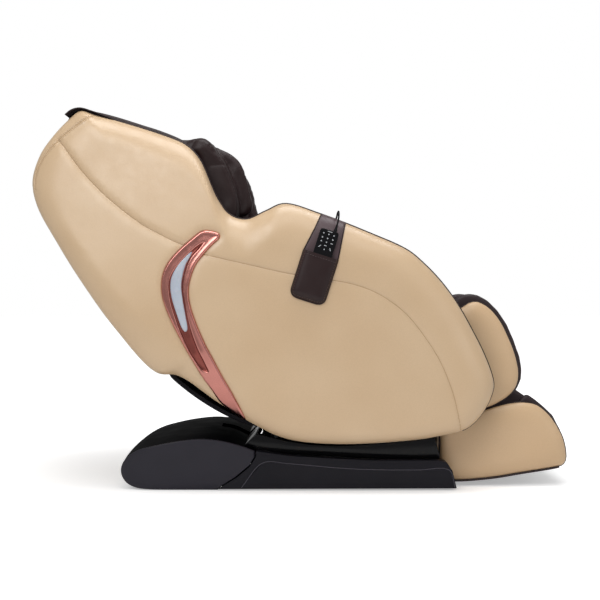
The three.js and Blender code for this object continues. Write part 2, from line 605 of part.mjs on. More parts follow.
// ---- foot unit ---------------------------------------------------------------------------
const FOOT_SIDE = [[410, 22], [458, 12], [561, 20], [647, 34], [763, 53], [773, 60], [777, 76],
  [775, 104], [766, 142], [745, 184], [720, 216], [690, 237], [655, 243], [612, 240], [570, 230],
  [535, 218], [430, 214], [410, 200]];
const footShell = join(
  pair(FOOT_SIDE, LEG_WALL_IN, 248),
  across([[410, 22], [422, 20], [422, 213], [410, 200]], LEG_WALL_IN + 1),
  across([[410, 22], [458, 12], [561, 20], [647, 34], [763, 53], [763, 65], [647, 46], [561, 32],
    [458, 24], [410, 34]], LEG_WALL_IN + 1),
);
piece("foot_shell", footShell, beige);
const FOOT_PAD = [[505, 29], [561, 32.5], [647, 46.5], [763, 65.5], [776, 66], [783, 88], [779, 122],
  [767, 161], [745, 204], [716, 232], [694, 250], [668, 268], [648, 258], [640, 242], [600, 234],
  [560, 224], [505, 212]];
const FOOT_WELL = [[528, 300], [522, 120], [530, 84], [548, 62], [600, 68], [700, 83], [800, 98],
  [830, 300]];
const SOLE_ROLLER = [600, 66];
const footPad = across(FOOT_PAD, LEG_WALL_IN - GAP)
  .subtract(pair(FOOT_WELL, ...TROUGH))
  .subtract(bar(SOLE_ROLLER, 15.5, -193, 193, 24));
piece("foot_liner", footPad, linerBrown);

const ribs = [];
for (let y = 190; y > 40; y -= 42) ribs.push([11, y], [14, y - 12], [14, y - 30]);
const soleProfile = [[0, -192], [11, -192], ...ribs.map(([r, y]) => [r, -y]), ...[...ribs].reverse(),
  [11, 192], [0, 192]];
piece("foot_roller", turned(SOLE_ROLLER, soleProfile, 12), rubber);

const crossBar = onGuide(GUIDE_LENGTH, 0);
const guideFrame = join(
  guides(GUIDE_R, 0, GUIDE_LENGTH),
  box(crossBar[0] - 9, crossBar[0] + 9, -GUIDE_Y - 12, GUIDE_Y + 12, crossBar[2] - 12, crossBar[2] + 10),
);
piece("foot_guide_frame", guideFrame, steel);

// ---- remote, pouch and cord --------------------------------------------------------------
const POUCH_CENTRE = [35, 610.5];
const POUCH_LEAN = THREE.MathUtils.degToRad(17.6);
// Pouch coordinates: b across its face (towards +X), a up its length.
const onPouch = ([b, a]) => [
  POUCH_CENTRE[0] + b * Math.cos(POUCH_LEAN) + a * Math.sin(POUCH_LEAN),
  POUCH_CENTRE[1] - b * Math.sin(POUCH_LEAN) + a * Math.cos(POUCH_LEAN),
];
const pouchRect = (b0, b1, a0, a1) => [[b0, a0], [b1, a0], [b1, a1], [b0, a1]].map(onPouch);
const POCKET_FACE = HALF_WIDTH + 17;
const REMOTE_HALF = 27;
const REMOTE_MIDDLE = 4;
const REMOTE_ENDS = [-13, 137];
const REMOTE_Y = [HALF_WIDTH + 3.6, HALF_WIDTH + 14];
const strapOutline = [[-50, -64], [50, -64], [50, 64], [36, 200], [-30, 200], [-50, 64]].map(onPouch);
const strapLayer = slab(strapOutline, -460, -292)
  .intersect(panelBody(3.2, 250))
  .subtract(panelBody(GAP, 200));
const pocket = slab(rounded(pouchRect(-50, 50, -64.5, 64.5), 9, 3), -POCKET_FACE, -HALF_WIDTH - 2)
  .subtract(slab(pouchRect(REMOTE_MIDDLE - REMOTE_HALF - 0.5, REMOTE_MIDDLE + REMOTE_HALF + 0.5,
    REMOTE_ENDS[0] - 0.5, 90), -REMOTE_Y[1] - 0.5, -REMOTE_Y[0] + 0.3));
piece("remote_pouch", pocket.add(strapLayer), brown);

const remoteOutline = rounded(pouchRect(REMOTE_MIDDLE - REMOTE_HALF, REMOTE_MIDDLE + REMOTE_HALF,
  ...REMOTE_ENDS), 9, 4);
const BUTTON_R = 4;
const BUTTON_DEPTH = 4;
const BUTTON_COLUMNS = [-15, 0, 15];
const BUTTON_ROWS = [125, 113];
const buttonSpots = BUTTON_ROWS.flatMap((a) => BUTTON_COLUMNS.map((b) => onPouch([b + REMOTE_MIDDLE, a])));
let remoteBody = slab(remoteOutline, -REMOTE_Y[1], -REMOTE_Y[0]);
buttonSpots.forEach((spot) => {
  remoteBody = remoteBody.subtract(bar(spot, BUTTON_R + GAP, -REMOTE_Y[1] - 5, -REMOTE_Y[1] + BUTTON_DEPTH));
});
piece("remote", remoteBody, blackGloss);
buttonSpots.forEach((spot, i) => {
  const button = bar(spot, BUTTON_R, -REMOTE_Y[1] - 1.2, -REMOTE_Y[1] + BUTTON_DEPTH - 1.5, 12);
  piece(`remote_button_${i + 1}`, button, rubber);
});

const RELIEF_B = REMOTE_MIDDLE + 14;
const CORD_Y = -(REMOTE_Y[0] + REMOTE_Y[1]) / 2;
const reliefPoint = (a) => {
  const [x, z] = onPouch([RELIEF_B, a]);
  return [x, CORD_Y, z];
};
const RELIEF_ENDS = [REMOTE_ENDS[1] + GAP, REMOTE_ENDS[1] + 20];
const relief = join(
  rod(reliefPoint(RELIEF_ENDS[0]), reliefPoint(RELIEF_ENDS[0] + 12), 5),
  rod(reliefPoint(RELIEF_ENDS[0] + 10), reliefPoint(RELIEF_ENDS[1]), 3.6),
);
piece("remote_strain_relief", relief, rubber);

// The cord leaves the remote, loops over the arm, hangs down its inner face and ends in a neat
// coil on the seat, from which it runs into a gland in the arm.
const SEAT_SLOPE = 0.156;
const COIL_X = 70;
const COIL_Y = -158;
const COIL_Z = 399.6; // seat surface under the coil's middle
const COIL_TURN_R = [25.3, 30.5]; // inner and outer turns
const COIL_LIFT = 0.6;
const tilt = Math.atan(SEAT_SLOPE);
const onCoil = (along, y, height) => [
  COIL_X + along * Math.cos(tilt) - height * Math.sin(tilt),
  COIL_Y + y,
  COIL_Z + along * Math.sin(tilt) + height * Math.cos(tilt),
];
const lowTurn = COIL_LIFT + CORD_R;
const highTurn = lowTurn + 2 * CORD_R;
const OVER_THE_ARM = [
  [101.5, -389, 762], [104, -387.5, 775], [105, -380, 787], [104.5, -366, 794.5],
  [103, -348, 793], [101.5, -330, 786.5], [100.5, -308, 781.5], [100, -284, 779],
  [100, -260, 778], [100, -238, 774], [100, -219, 771.5], [100, -204.8, 768], [100, -200.7, 756],
  [100, -200.5, 725], [100, -200.5, 690], [100, -200.5, 650], [100, -200.5, 610],
  [100, -200.5, 570], [100, -200.5, 530], [100, -200.5, 490], [100, -200.5, 455],
];
const ONTO_THE_SEAT = [
  [100, -200.5, 428], onCoil(30.5, -38, 8.5), onCoil(30.5, -31, 3.9), onCoil(30.5, -19.5, lowTurn),
];
const leadStart = reliefPoint(RELIEF_ENDS[1] + GAP);
const leadRoute = new THREE.CatmullRomCurve3(
  [leadStart, ...OVER_THE_ARM, ...ONTO_THE_SEAT].map((p) => new THREE.Vector3(...p)),
  false, "centripetal",
);
const CORD_SIDES = 8;
const cordSection = Array.from({ length: CORD_SIDES }, (_, i) => {
  const angle = (2 * Math.PI * i) / CORD_SIDES;
  return new THREE.Vector2(CORD_R * Math.cos(angle), CORD_R * Math.sin(angle));
});
const lead = new THREE.ExtrudeGeometry(new THREE.Shape(cordSection), {
  extrudePath: leadRoute, steps: 56, bevelEnabled: false,
});
piece("remote_cord_lead", toSolid(lead), rubber);

const coilSection = [
  [COIL_TURN_R[0] - CORD_R, COIL_LIFT], [COIL_TURN_R[1] + CORD_R, COIL_LIFT],
  [COIL_TURN_R[1] + CORD_R, highTurn + CORD_R], [COIL_TURN_R[0] - CORD_R, highTurn + CORD_R],
  [COIL_TURN_R[0] - CORD_R, COIL_LIFT],
];
const coil = new THREE.LatheGeometry(coilSection.map(([r, h]) => new THREE.Vector2(r, h)), 24);
coil.rotateX(Math.PI / 2).rotateY(-tilt).translate(COIL_X, COIL_Y, COIL_Z);
piece("remote_cord_coil", toSolid(coil), rubber);

const glandAt = (y) => onCoil(-COIL_TURN_R[1], y - COIL_Y, highTurn);
const gland = join(
  rod(glandAt(-203.7), glandAt(-196), 5, 12),
  rod(glandAt(-197), glandAt(-178), 3.6, 12),
);
piece("cord_gland", gland, rubber);

export default chair;
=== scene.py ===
# Massage chair: the looks of every visible piece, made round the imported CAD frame.
# Helper functions take millimetres, in the same axes as the frame: +X towards the feet,
# +Y to the sitter's left, +Z up.
# The chair is seen from its right (-Y) side, so side pieces are made on the right and mirrored.
import json
import math

import bmesh
import bpy
import numpy as np
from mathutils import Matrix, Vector, geometry, kdtree

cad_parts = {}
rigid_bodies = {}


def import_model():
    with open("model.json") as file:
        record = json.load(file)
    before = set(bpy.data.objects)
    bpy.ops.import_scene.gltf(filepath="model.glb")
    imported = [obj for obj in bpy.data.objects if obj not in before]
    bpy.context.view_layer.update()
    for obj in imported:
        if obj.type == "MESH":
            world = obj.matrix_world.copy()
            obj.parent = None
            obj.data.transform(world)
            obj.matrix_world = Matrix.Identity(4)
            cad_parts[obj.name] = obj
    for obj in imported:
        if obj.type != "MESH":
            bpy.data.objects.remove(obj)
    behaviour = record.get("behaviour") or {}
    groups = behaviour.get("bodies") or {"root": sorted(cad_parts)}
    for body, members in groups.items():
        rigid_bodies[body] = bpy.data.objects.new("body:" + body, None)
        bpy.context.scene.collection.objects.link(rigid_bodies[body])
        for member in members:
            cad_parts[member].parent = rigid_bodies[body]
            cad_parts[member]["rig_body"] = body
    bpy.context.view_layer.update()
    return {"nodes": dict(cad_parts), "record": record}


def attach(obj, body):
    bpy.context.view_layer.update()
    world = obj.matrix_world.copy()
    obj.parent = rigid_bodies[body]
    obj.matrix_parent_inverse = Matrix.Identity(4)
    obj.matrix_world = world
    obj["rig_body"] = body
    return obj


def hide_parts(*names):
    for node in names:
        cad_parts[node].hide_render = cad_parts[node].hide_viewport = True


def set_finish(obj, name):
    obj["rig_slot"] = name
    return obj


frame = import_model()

MM = 0.001
NODES = frame["nodes"]
NODE_SLOT = {part["node"]: part["material_slot"] for part in frame["record"]["subparts"]}

# ---- driving sizes, as in the CAD ---------------------------------------------------------
HALF_WIDTH = 380
HEAD_HALF_WIDTH = 318
INNER_PLANE = 262
CROWN = 50
PANEL_CENTRE = (-160, 489)
TILT_CENTRE = (100, 842)
COVER_R = 702
HIP = np.array([-105.0, 365.0])
UP_BACK = np.array([-0.6, 0.8])
OFF_BACK = np.array([0.8, 0.6])


# ---- curves -------------------------------------------------------------------------------
def resample(line, count, closed):
    """A polyline's points, evenly spaced along it."""
    line = np.asarray(line, float)
    if closed:
        line = np.vstack([line, line[:1]])
    steps = np.linalg.norm(np.diff(line, axis=0), axis=1)
    along = np.concatenate([[0], np.cumsum(steps)])
    wanted = np.linspace(0, along[-1], count, endpoint=not closed)
    return np.column_stack([np.interp(wanted, along, line[:, k]) for k in range(line.shape[1])])


def catmull(points, closed=False, fine=24):
    """A centripetal Catmull-Rom curve through given points."""
    p = np.array(points, float)
    if closed:
        p = np.vstack([p[-1:], p, p[:2]])
    else:
        p = np.vstack([2 * p[0] - p[1], p, 2 * p[-1] - p[-2]])
    out = []
    for a, b, c, d in zip(p, p[1:], p[2:], p[3:]):
        t1 = np.linalg.norm(b - a) ** 0.5
        t2 = t1 + np.linalg.norm(c - b) ** 0.5
        t3 = t2 + np.linalg.norm(d - c) ** 0.5
        t = np.linspace(t1, t2, fine, endpoint=False)[:, None]
        a1 = (t1 - t) / t1 * a + t / t1 * b
        a2 = (t2 - t) / (t2 - t1) * b + (t - t1) / (t2 - t1) * c
        a3 = (t3 - t) / (t3 - t2) * c + (t - t2) / (t3 - t2) * d
        b1 = (t2 - t) / t2 * a1 + t / t2 * a2
        b2 = (t3 - t) / (t3 - t1) * a2 + (t - t1) / (t3 - t1) * a3
        out.append((t2 - t) / (t2 - t1) * b1 + (t - t1) / (t2 - t1) * b2)
    if not closed:
        out.append(p[-2:-1])
    return np.vstack(out)


def smooth(points, spacing, closed=False):
    """A smooth curve through given points, with a point about every `spacing`."""
    curve = catmull(points, closed)
    ends = np.vstack([curve, curve[:1]]) if closed else curve
    length = np.linalg.norm(np.diff(ends, axis=0), axis=1).sum()
    return resample(curve, max(4, round(length / spacing)), closed)


def turned_up(line, at=0):
    """Unit normals of an open line, on the side that points up at one of its points."""
    away = normals2(line, False)
    return away * np.sign(away[at, 1])


def normals2(line, closed):
    """Unit normals of a flat polyline, to the right of its direction."""
    if closed:
        along = np.roll(line, -1, axis=0) - np.roll(line, 1, axis=0)
    else:
        along = np.gradient(line, axis=0)
    along /= np.maximum(np.linalg.norm(along, axis=1, keepdims=True), 1e-9)
    return np.column_stack([along[:, 1], -along[:, 0]])


def inward(outline):
    """Unit normals of a closed outline that point into it."""
    x, z = outline.T
    area = (x * np.roll(z, -1) - np.roll(x, -1) * z).sum()
    return normals2(outline, True) * (-1 if area > 0 else 1)


def distance(points, line, closed=False):
    """Each point's distance from a flat polyline, and how far along it the nearest place is."""
    line = np.asarray(line, float)
    ends = np.vstack([line, line[:1]]) if closed else line
    a = ends[:-1]
    span = ends[1:] - a
    length = np.maximum((span**2).sum(1), 1e-12)
    starts = np.concatenate([[0], np.cumsum(np.sqrt(length))])[:-1]
    best = np.full(len(points), 1e9)
    place = np.zeros(len(points))
    for chunk in range(0, len(points), 4000):
        p = points[chunk : chunk + 4000]
        rel = p[:, None, :] - a[None]
        t = np.clip((rel * span[None]).sum(2) / length, 0, 1)
        gap = np.linalg.norm(rel - t[..., None] * span[None], axis=2)
        nearest = gap.argmin(1)
        rows = np.arange(len(p))
        best[chunk : chunk + 4000] = gap[rows, nearest]
        place[chunk : chunk + 4000] = starts[nearest] + t[rows, nearest] * np.sqrt(length[nearest])
    return best, place


def within(points, outline):
    """Whether each point lies inside a closed outline."""
    x, z = points[:, 0][:, None], points[:, 1][:, None]
    x0, z0 = outline[:, 0][None], outline[:, 1][None]
    x1, z1 = np.roll(outline[:, 0], -1)[None], np.roll(outline[:, 1], -1)[None]
    crosses = (z0 > z) != (z1 > z)
    with np.errstate(divide="ignore", invalid="ignore"):
        at = x0 + (z - z0) * (x1 - x0) / (z1 - z0)
    return (crosses & (x < at)).sum(1) % 2 == 1


def smoothstep(t):
    t = np.clip(t, 0, 1)
    return t * t * (3 - 2 * t)


def bell(d, width):
    return np.exp(-((d / width) ** 2))


# ---- meshes -------------------------------------------------------------------------------
def mesh_piece(name, vertices, faces, materials, body, slot, flat=False):
    """A piece from millimetre vertices, smooth-shaded, riding on a body."""
    mesh = bpy.data.meshes.new(name)
    mesh.from_pydata((np.asarray(vertices, float) * MM).tolist(), [], [list(f) for f in faces])
    for material in materials:
        mesh.materials.append(material)
    mesh.validate()
    mesh.shade_flat() if flat else mesh.shade_smooth()
    piece = bpy.data.objects.new(name, mesh)
    bpy.context.scene.collection.objects.link(piece)
    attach(piece, body)
    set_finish(piece, slot)
    return piece


def mirror_piece(piece, name, body):
    """The other side's copy of a right-hand piece."""
    mesh = piece.data.copy()
    for vertex in mesh.vertices:
        vertex.co.y = -vertex.co.y
    mesh.flip_normals()
    copy = bpy.data.objects.new(name, mesh)
    bpy.context.scene.collection.objects.link(copy)
    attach(copy, body)
    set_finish(copy, piece["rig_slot"])
    return copy


def both_sides(piece, stem, body, node=None):
    """Mirrors a right-hand piece to the left, and hides the CAD nodes that the two stand for."""
    left = mirror_piece(piece, f"{stem}_left", body)
    if node:
        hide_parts(f"{node}_right")
        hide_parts(f"{node}_left")
    return piece, left


def face_outwards(piece):
    """Turns every face of a closed piece outwards, and drops vertices that no face uses."""
    bm = bmesh.new()
    bm.from_mesh(piece.data)
    loose = [vertex for vertex in bm.verts if not vertex.link_faces]
    bmesh.ops.delete(bm, geom=loose, context="VERTS")
    bmesh.ops.recalc_face_normals(bm, faces=bm.faces)
    bm.to_mesh(piece.data)
    bm.free()


def sheet_piece(outer, inner, materials, name, body, slot, keep=None):
    """A closed sheet between two matching grids; keep marks the cells that aren't holes."""
    rows, columns = outer.shape[:2]
    keep = np.ones((rows - 1, columns - 1), bool) if keep is None else keep
    under = rows * columns
    faces = []
    for r, c in zip(*np.nonzero(keep)):
        corners = [(r, c), (r, c + 1), (r + 1, c + 1), (r + 1, c)]
        beyond = [(r - 1, c), (r, c + 1), (r + 1, c), (r, c - 1)]
        top = [i * columns + j for i, j in corners]
        faces.append(top)
        faces.append([under + v for v in reversed(top)])
        for k, (i, j) in enumerate(beyond):
            if not (0 <= i < rows - 1 and 0 <= j < columns - 1 and keep[i, j]):
                p, q = top[k], top[(k + 1) % 4]
                faces.append((q, p, under + p, under + q))
    vertices = np.vstack([outer.reshape(-1, 3), inner.reshape(-1, 3)])
    piece = mesh_piece(name, vertices, faces, materials, body, slot)
    face_outwards(piece)
    piece.data.set_sharp_from_angle(angle=math.radians(50))
    return piece


def grid_normals(grid):
    """Unit normals of a grid of points, rows by columns."""
    normals = np.cross(np.gradient(grid, axis=0), np.gradient(grid, axis=1))
    return normals / np.maximum(np.linalg.norm(normals, axis=2, keepdims=True), 1e-9)


def swept(line, away, y, lift):
    """A grid of points: a side-view line at each y, moved out along `away` by `lift`."""
    x, z = (line[:, k, None] + away[:, k, None] * lift for k in (0, 1))
    return np.stack(np.broadcast_arrays(x, y, z), axis=-1)


def tube(path, radius, sides=8, closed=False):
    """Vertices and faces of a round tube along a 3-D path; radius is a number or one per point."""
    path = np.asarray(path, float)
    radii = np.broadcast_to(radius, len(path))
    if closed:
        along = np.roll(path, -1, axis=0) - np.roll(path, 1, axis=0)
    else:
        along = np.gradient(path, axis=0)
    along /= np.linalg.norm(along, axis=1, keepdims=True)
    side = np.cross(along[0], (0, 1, 0) if abs(along[0][1]) < 0.9 else (1, 0, 0))
    vertices = []
    for place, heading, r in zip(path, along, radii):
        side = side - heading * side.dot(heading)
        side /= np.linalg.norm(side)
        up = np.cross(heading, side)
        for k in range(sides):
            angle = 2 * math.pi * k / sides
            vertices.append(place + r * (math.cos(angle) * side + math.sin(angle) * up))
    n = len(path)
    faces = []
    for i in range(n if closed else n - 1):
        j = (i + 1) % n
        for k in range(sides):
            m = (k + 1) % sides
            faces.append((i * sides + k, i * sides + m, j * sides + m, j * sides + k))
    if not closed:
        faces.append(tuple(reversed(range(sides))))
        faces.append(tuple(range((n - 1) * sides, n * sides)))
    return vertices, faces


def merged(parts):
    """Several (vertices, faces) pairs as one."""
    vertices, faces = [], []
    for points, polygons in parts:
        base = len(vertices)
        vertices.extend(points)
        faces.extend(tuple(base + i for i in f) for f in polygons)
    return vertices, faces


STITCH_LENGTH = 4.6
STITCH_PITCH = 7.2
STITCH_R = 0.55


def stitch_row(path):
    """Thread stitches along a 3-D path, each a small rounded bar."""
    path = np.asarray(path, float)
    length = np.linalg.norm(np.diff(path, axis=0), axis=1).sum()
    count = max(2, int(length / STITCH_PITCH))
    fine = resample(path, count * 4 + 1, False)
    parts = []
    for i in range(count):
        a, b = fine[4 * i], fine[4 * i + 3]
        middle, reach = (a + b) / 2, (b - a) / np.linalg.norm(b - a) * STITCH_LENGTH / 2
        ring = [middle - reach, middle - reach * 0.75, middle + reach * 0.75, middle + reach]
        points, faces = tube(ring, STITCH_R, sides=5)
        points = [p if 5 <= k < 15 else ring[k // 5] + (p - ring[k // 5]) * 0.4
                  for k, p in enumerate(points)]
        parts.append((points, faces))
    return merged(parts)


def thin_out(groups, keep_apart):
    """The groups' points in order, without those too close to one taken before."""
    taken = np.empty((0, 2))
    for points, gap in zip(groups, keep_apart):
        points = np.asarray(points, float)
        if len(taken):
            tree = kdtree.KDTree(len(taken))
            for i, (x, z) in enumerate(taken):
                tree.insert((x, z, 0), i)
            tree.balance()
            free = [tree.find((x, z, 0))[2] > gap for x, z in points]
            points = points[np.array(free, bool)]
        taken = np.vstack([taken, points])
    return taken


def grid_points(outline, pitch):
    """A staggered grid of points inside an outline."""
    lo, hi = outline.min(0), outline.max(0)
    rows = np.arange(lo[1], hi[1], pitch * 0.87)
    points = [(x + (pitch / 2 if r % 2 else 0), z)
              for r, z in enumerate(rows) for x in np.arange(lo[0], hi[0], pitch)]
    points = np.array(points)
    return points[within(points, outline)]


def inset_rows(outline, depths):
    """Rows of points at set depths inside a closed outline."""
    rows = []
    into = inward(outline)
    for depth in depths:
        row = outline + into * depth
        gap, _ = distance(row, outline, True)
        rows.append(row[(gap > depth * 0.97) & within(row, outline)])
    return rows


def beside(line, offsets, closed=False):
    """Rows of points at set offsets to each side of a line."""
    side = normals2(line, closed)
    return [line + side * offset for offset in offsets]


def triangulated(outline, rows, pitch):
    """A triangle mesh of an outline: its points (the outline's come first) and its faces."""
    inner = []
    for row in rows:
        inside = row[within(row, outline)]
        gap, _ = distance(inside, outline, True)
        inner.append(inside[gap > 0.5])
    inner.append(grid_points(outline, pitch))
    gaps = [0.7] * len(rows) + [pitch * 0.62]
    points = thin_out([outline, *inner], [0, *gaps])
    count = len(outline)
    result = geometry.delaunay_2d_cdt(
        [Vector(p) for p in points], [], [list(range(count))], 1, 1e-4
    )
    flat = np.array([tuple(p) for p in result[0]])
    return flat, [tuple(f) for f in result[2]]


def plate(outline, rows, pitch, front, rings, materials, name, body, slot, band_material=None):
    """A closed plate: a front face at y = -front(x, z), wall rings back from its edge, and a cap.

    rings holds (inset, half-width) pairs, each a number or one per outline point, where insets
    are a column.
    band_material(i, k) gives the material number of the wall face k at outline point i.
    """
    flat, faces = triangulated(outline, rows, pitch)
    n = len(outline)
    half = front(flat[:, 0], flat[:, 1])
    vertices = [(x, -y, z) for (x, z), y in zip(flat, half)]
    into = inward(outline)
    area = (outline[:, 0] * np.roll(outline[:, 1], -1) - np.roll(outline[:, 0], -1) * outline[:, 1])
    turn = area.sum() > 0
    front_faces = []
    for a, b, c in faces:
        cross = np.cross(flat[b] - flat[a], flat[c] - flat[a])
        front_faces.append((a, b, c) if cross > 0 else (a, c, b))
    all_faces = list(front_faces)
    numbers = [0] * len(all_faces)
    previous = list(range(n))
    for k, (inset, width) in enumerate(rings):
        ring = outline + into * inset
        widths = np.broadcast_to(width, n)
        base = len(vertices)
        vertices.extend((x, -w, z) for (x, z), w in zip(ring, widths))
        current = list(range(base, base + n))
        for i in range(n):
            j = (i + 1) % n
            face = (previous[i], current[i], current[j], previous[j])
            all_faces.append(face if turn else face[::-1])
            numbers.append(band_material(i, k) if band_material else 0)
        previous = current
    ring = np.array([(vertices[i][0], vertices[i][2]) for i in previous])
    cap = geometry.tessellate_polygon([[Vector((x, z, 0)) for x, z in ring]])
    for face in cap:
        a, b, c = (previous[i] for i in face)
        cross = np.cross(ring[face[1]] - ring[face[0]], ring[face[2]] - ring[face[0]])
        all_faces.append((a, c, b) if cross > 0 else (a, b, c))
        numbers.append(band_material(0, -1) if band_material else 0)
    piece = mesh_piece(name, vertices, all_faces, materials, body, slot)
    piece.data.polygons.foreach_set("material_index", numbers)
    return piece


# ---- materials ----------------------------------------------------------------------------
def colour(red, green, blue):
    """An sRGB colour of 0 to 255 as linear numbers."""
    def linear(v):
        v /= 255
        return v / 12.92 if v <= 0.04045 else ((v + 0.055) / 1.055) ** 2.4
    return (linear(red), linear(green), linear(blue), 1.0)


class Shader:
    """A Principled material with object coordinates and a few node helpers."""

    def __init__(self, name, **sockets):
        self.material = bpy.data.materials.new(name)
        self.material.use_nodes = True
        self.tree = self.material.node_tree
        self.bsdf = self.tree.nodes["Principled BSDF"]
        self.place = self.tree.nodes.new("ShaderNodeTexCoord").outputs["Object"]
        for socket, value in sockets.items():
            self.bsdf.inputs[socket.replace("_", " ")].default_value = value

    def add(self, kind, inputs=None, **settings):
        node = self.tree.nodes.new(kind)
        for key, value in settings.items():
            setattr(node, key, value)
        for key, value in (inputs or {}).items():
            if isinstance(value, bpy.types.NodeSocket):
                self.tree.links.new(value, node.inputs[key])
            else:
                node.inputs[key].default_value = value
        return node

    def link(self, output, socket):
        self.tree.links.new(output, self.bsdf.inputs[socket])

    def noise(self, scale, detail=3.0, stretch=None):
        place = self.place
        if stretch:
            stretched = {"Vector": self.place, "Scale": stretch}
            place = self.add("ShaderNodeMapping", stretched).outputs[0]
        inputs = {"Vector": place, "Scale": scale, "Detail": detail}
        return self.add("ShaderNodeTexNoise", inputs).outputs["Fac"]

    def ramp(self, fac, low, high, at=(0.3, 0.7)):
        node = self.add("ShaderNodeValToRGB", {"Fac": fac})
        node.color_ramp.elements[0].position = at[0]
        node.color_ramp.elements[1].position = at[1]
        node.color_ramp.elements[0].color = low
        node.color_ramp.elements[1].color = high
        return node.outputs["Color"]

    def mix(self, fac, a, b, blend="MIX"):
        node = self.add("ShaderNodeMix", data_type="RGBA", blend_type=blend)
        colours = [s for s in node.inputs if s.type == "RGBA"]
        for socket, value in ((node.inputs[0], fac), (colours[0], a), (colours[1], b)):
            if isinstance(value, bpy.types.NodeSocket):
                self.tree.links.new(value, socket)
            else:
                socket.default_value = value
        return next(s for s in node.outputs if s.type == "RGBA")

    def span(self, fac, low, high):
        inputs = {"Value": fac, "From Min": 0.3, "From Max": 0.7, "To Min": low, "To Max": high}
        return self.add("ShaderNodeMapRange", inputs).outputs["Result"]

    def bump(self, heights):
        """Stacks (height, strength, distance) bumps."""
        normal = None
        for height, strength, depth in heights:
            inputs = {"Height": height, "Strength": strength, "Distance": depth}
            if normal:
                inputs["Normal"] = normal
            normal = self.add("ShaderNodeBump", inputs).outputs["Normal"]
        self.link(normal, "Normal")


def leather(name, base, dark, light, roughness, grain=620.0, depth=0.22, gloss=0.45):
    """Coated leather: pebbled grain, soft tone changes, and gloss that varies a little."""
    shader = Shader(name, Specular_IOR_Level=gloss, Sheen_Weight=0.05, Sheen_Roughness=0.4)
    tone = shader.ramp(shader.noise(5.0, 2.0), dark, light, (0.25, 0.75))
    tone = shader.mix(0.5, base, tone)
    pores = shader.add(
        "ShaderNodeTexVoronoi", {"Vector": shader.place, "Scale": grain}, feature="SMOOTH_F1"
    ).outputs["Distance"]
    speckle = shader.ramp(shader.noise(grain * 0.6, 3.0), (0.93, 0.93, 0.93, 1), (1, 1, 1, 1))
    shader.link(shader.mix(0.8, tone, speckle, "MULTIPLY"), "Base Color")
    shader.link(shader.span(shader.noise(38.0, 4.0), roughness - 0.05, roughness + 0.07),
                "Roughness")
    shader.bump([
        (shader.noise(26.0, 3.0), 0.12, 0.0012),
        (pores, depth, 0.0005),
        (shader.noise(grain * 1.6, 2.0), depth * 0.5, 0.0002),
    ])
    return shader.material


def plastic(name, base, roughness, texture=1400.0, depth=0.12, coat=0.0, gloss=0.35):
    """Moulded plastic: fine spark-eroded texture and faint handling marks."""
    shader = Shader(name, Specular_IOR_Level=gloss, Coat_Weight=coat, Coat_Roughness=0.08)
    pale = tuple(min(1.0, c * 1.25 + 0.001) for c in base[:3]) + (1.0,)
    shader.link(shader.ramp(shader.noise(7.0, 4.0), base, pale), "Base Color")
    shader.link(shader.span(shader.noise(17.0, 5.0), roughness - 0.04, roughness + 0.05),
                "Roughness")
    shader.bump([(shader.noise(texture, 2.0), depth, 0.0002)])
    return shader.material


def metal(name, base, roughness, brushed=None):
    """Metal with faint brushing or plating ripple."""
    shader = Shader(name, Metallic=1.0)
    dull = tuple(c * 0.86 for c in base[:3]) + (1.0,)
    shader.link(shader.ramp(shader.noise(12.0, 4.0), dull, base), "Base Color")
    shader.link(shader.span(shader.noise(60.0, 4.0), roughness - 0.03, roughness + 0.06),
                "Roughness")
    shader.bump([(shader.noise(300.0, 2.0, brushed), 0.06, 0.0002)])
    return shader.material


def mesh_cloth(name, base, light):
    """Black air-mesh cloth: a fine honeycomb of darker holes."""
    shader = Shader(name, Roughness=0.8, Specular_IOR_Level=0.15)
    cells = shader.add(
        "ShaderNodeTexVoronoi", {"Vector": shader.place, "Scale": 330.0, "Randomness": 0.15},
    ).outputs["Distance"]
    shader.link(shader.ramp(cells, base, light, (0.15, 0.45)), "Base Color")
    shader.bump([(cells, 0.5, 0.0006), (shader.noise(900.0, 2.0), 0.2, 0.0003)])
    return shader.material


BEIGE = leather("beige_leather", colour(206, 177, 141), colour(200, 169, 132),
                colour(212, 185, 151), 0.34, gloss=0.8)
# A warmer, less glossy copy of the beige leather for the calf rest and foot unit: painted shade for
# the chair's lower parts.
BEIGE_LEG_PAINTED_SHADE = leather("beige_leather_leg_painted_shade", colour(208, 176, 138), colour(201, 168, 129),
                    colour(214, 184, 148), 0.38, gloss=0.55)
# Darker beige for the faces along the bottom of each seam: painted shade in the seams.
SEAM_PAINTED_SHADE = leather("beige_seam_painted_shade", colour(186, 156, 121), colour(177, 147, 111),
                     colour(194, 165, 131), 0.55)
BROWN = leather("brown_leather", colour(38, 22, 22), colour(29, 15, 15), colour(48, 30, 31), 0.38,
                gloss=0.3)
# The strap's leather, lighter and greyer than the pouch's brown: partly its own colour, partly a
# painted reflection of the bright surroundings.
STRAP = leather("strap_leather_and_painted_reflection", colour(80, 62, 66), colour(70, 53, 57), colour(92, 73, 77), 0.38,
                gloss=0.45)
LINER = leather("liner_leather", colour(48, 35, 37), colour(38, 27, 29), colour(60, 46, 49), 0.46,
                gloss=0.3)
THREAD = leather("beige_thread", colour(205, 178, 145), colour(190, 162, 128),
                 colour(214, 190, 158), 0.6, 2600.0, 0.5)
DARK_THREAD = leather("brown_thread", colour(84, 66, 68), colour(66, 50, 52),
                      colour(100, 82, 84), 0.6, 2600.0, 0.5)
SATIN = plastic("black_satin", colour(28, 26, 36), 0.38)
DARK_SATIN = plastic("black_satin_front", colour(17, 16, 23), 0.42, gloss=0.2)
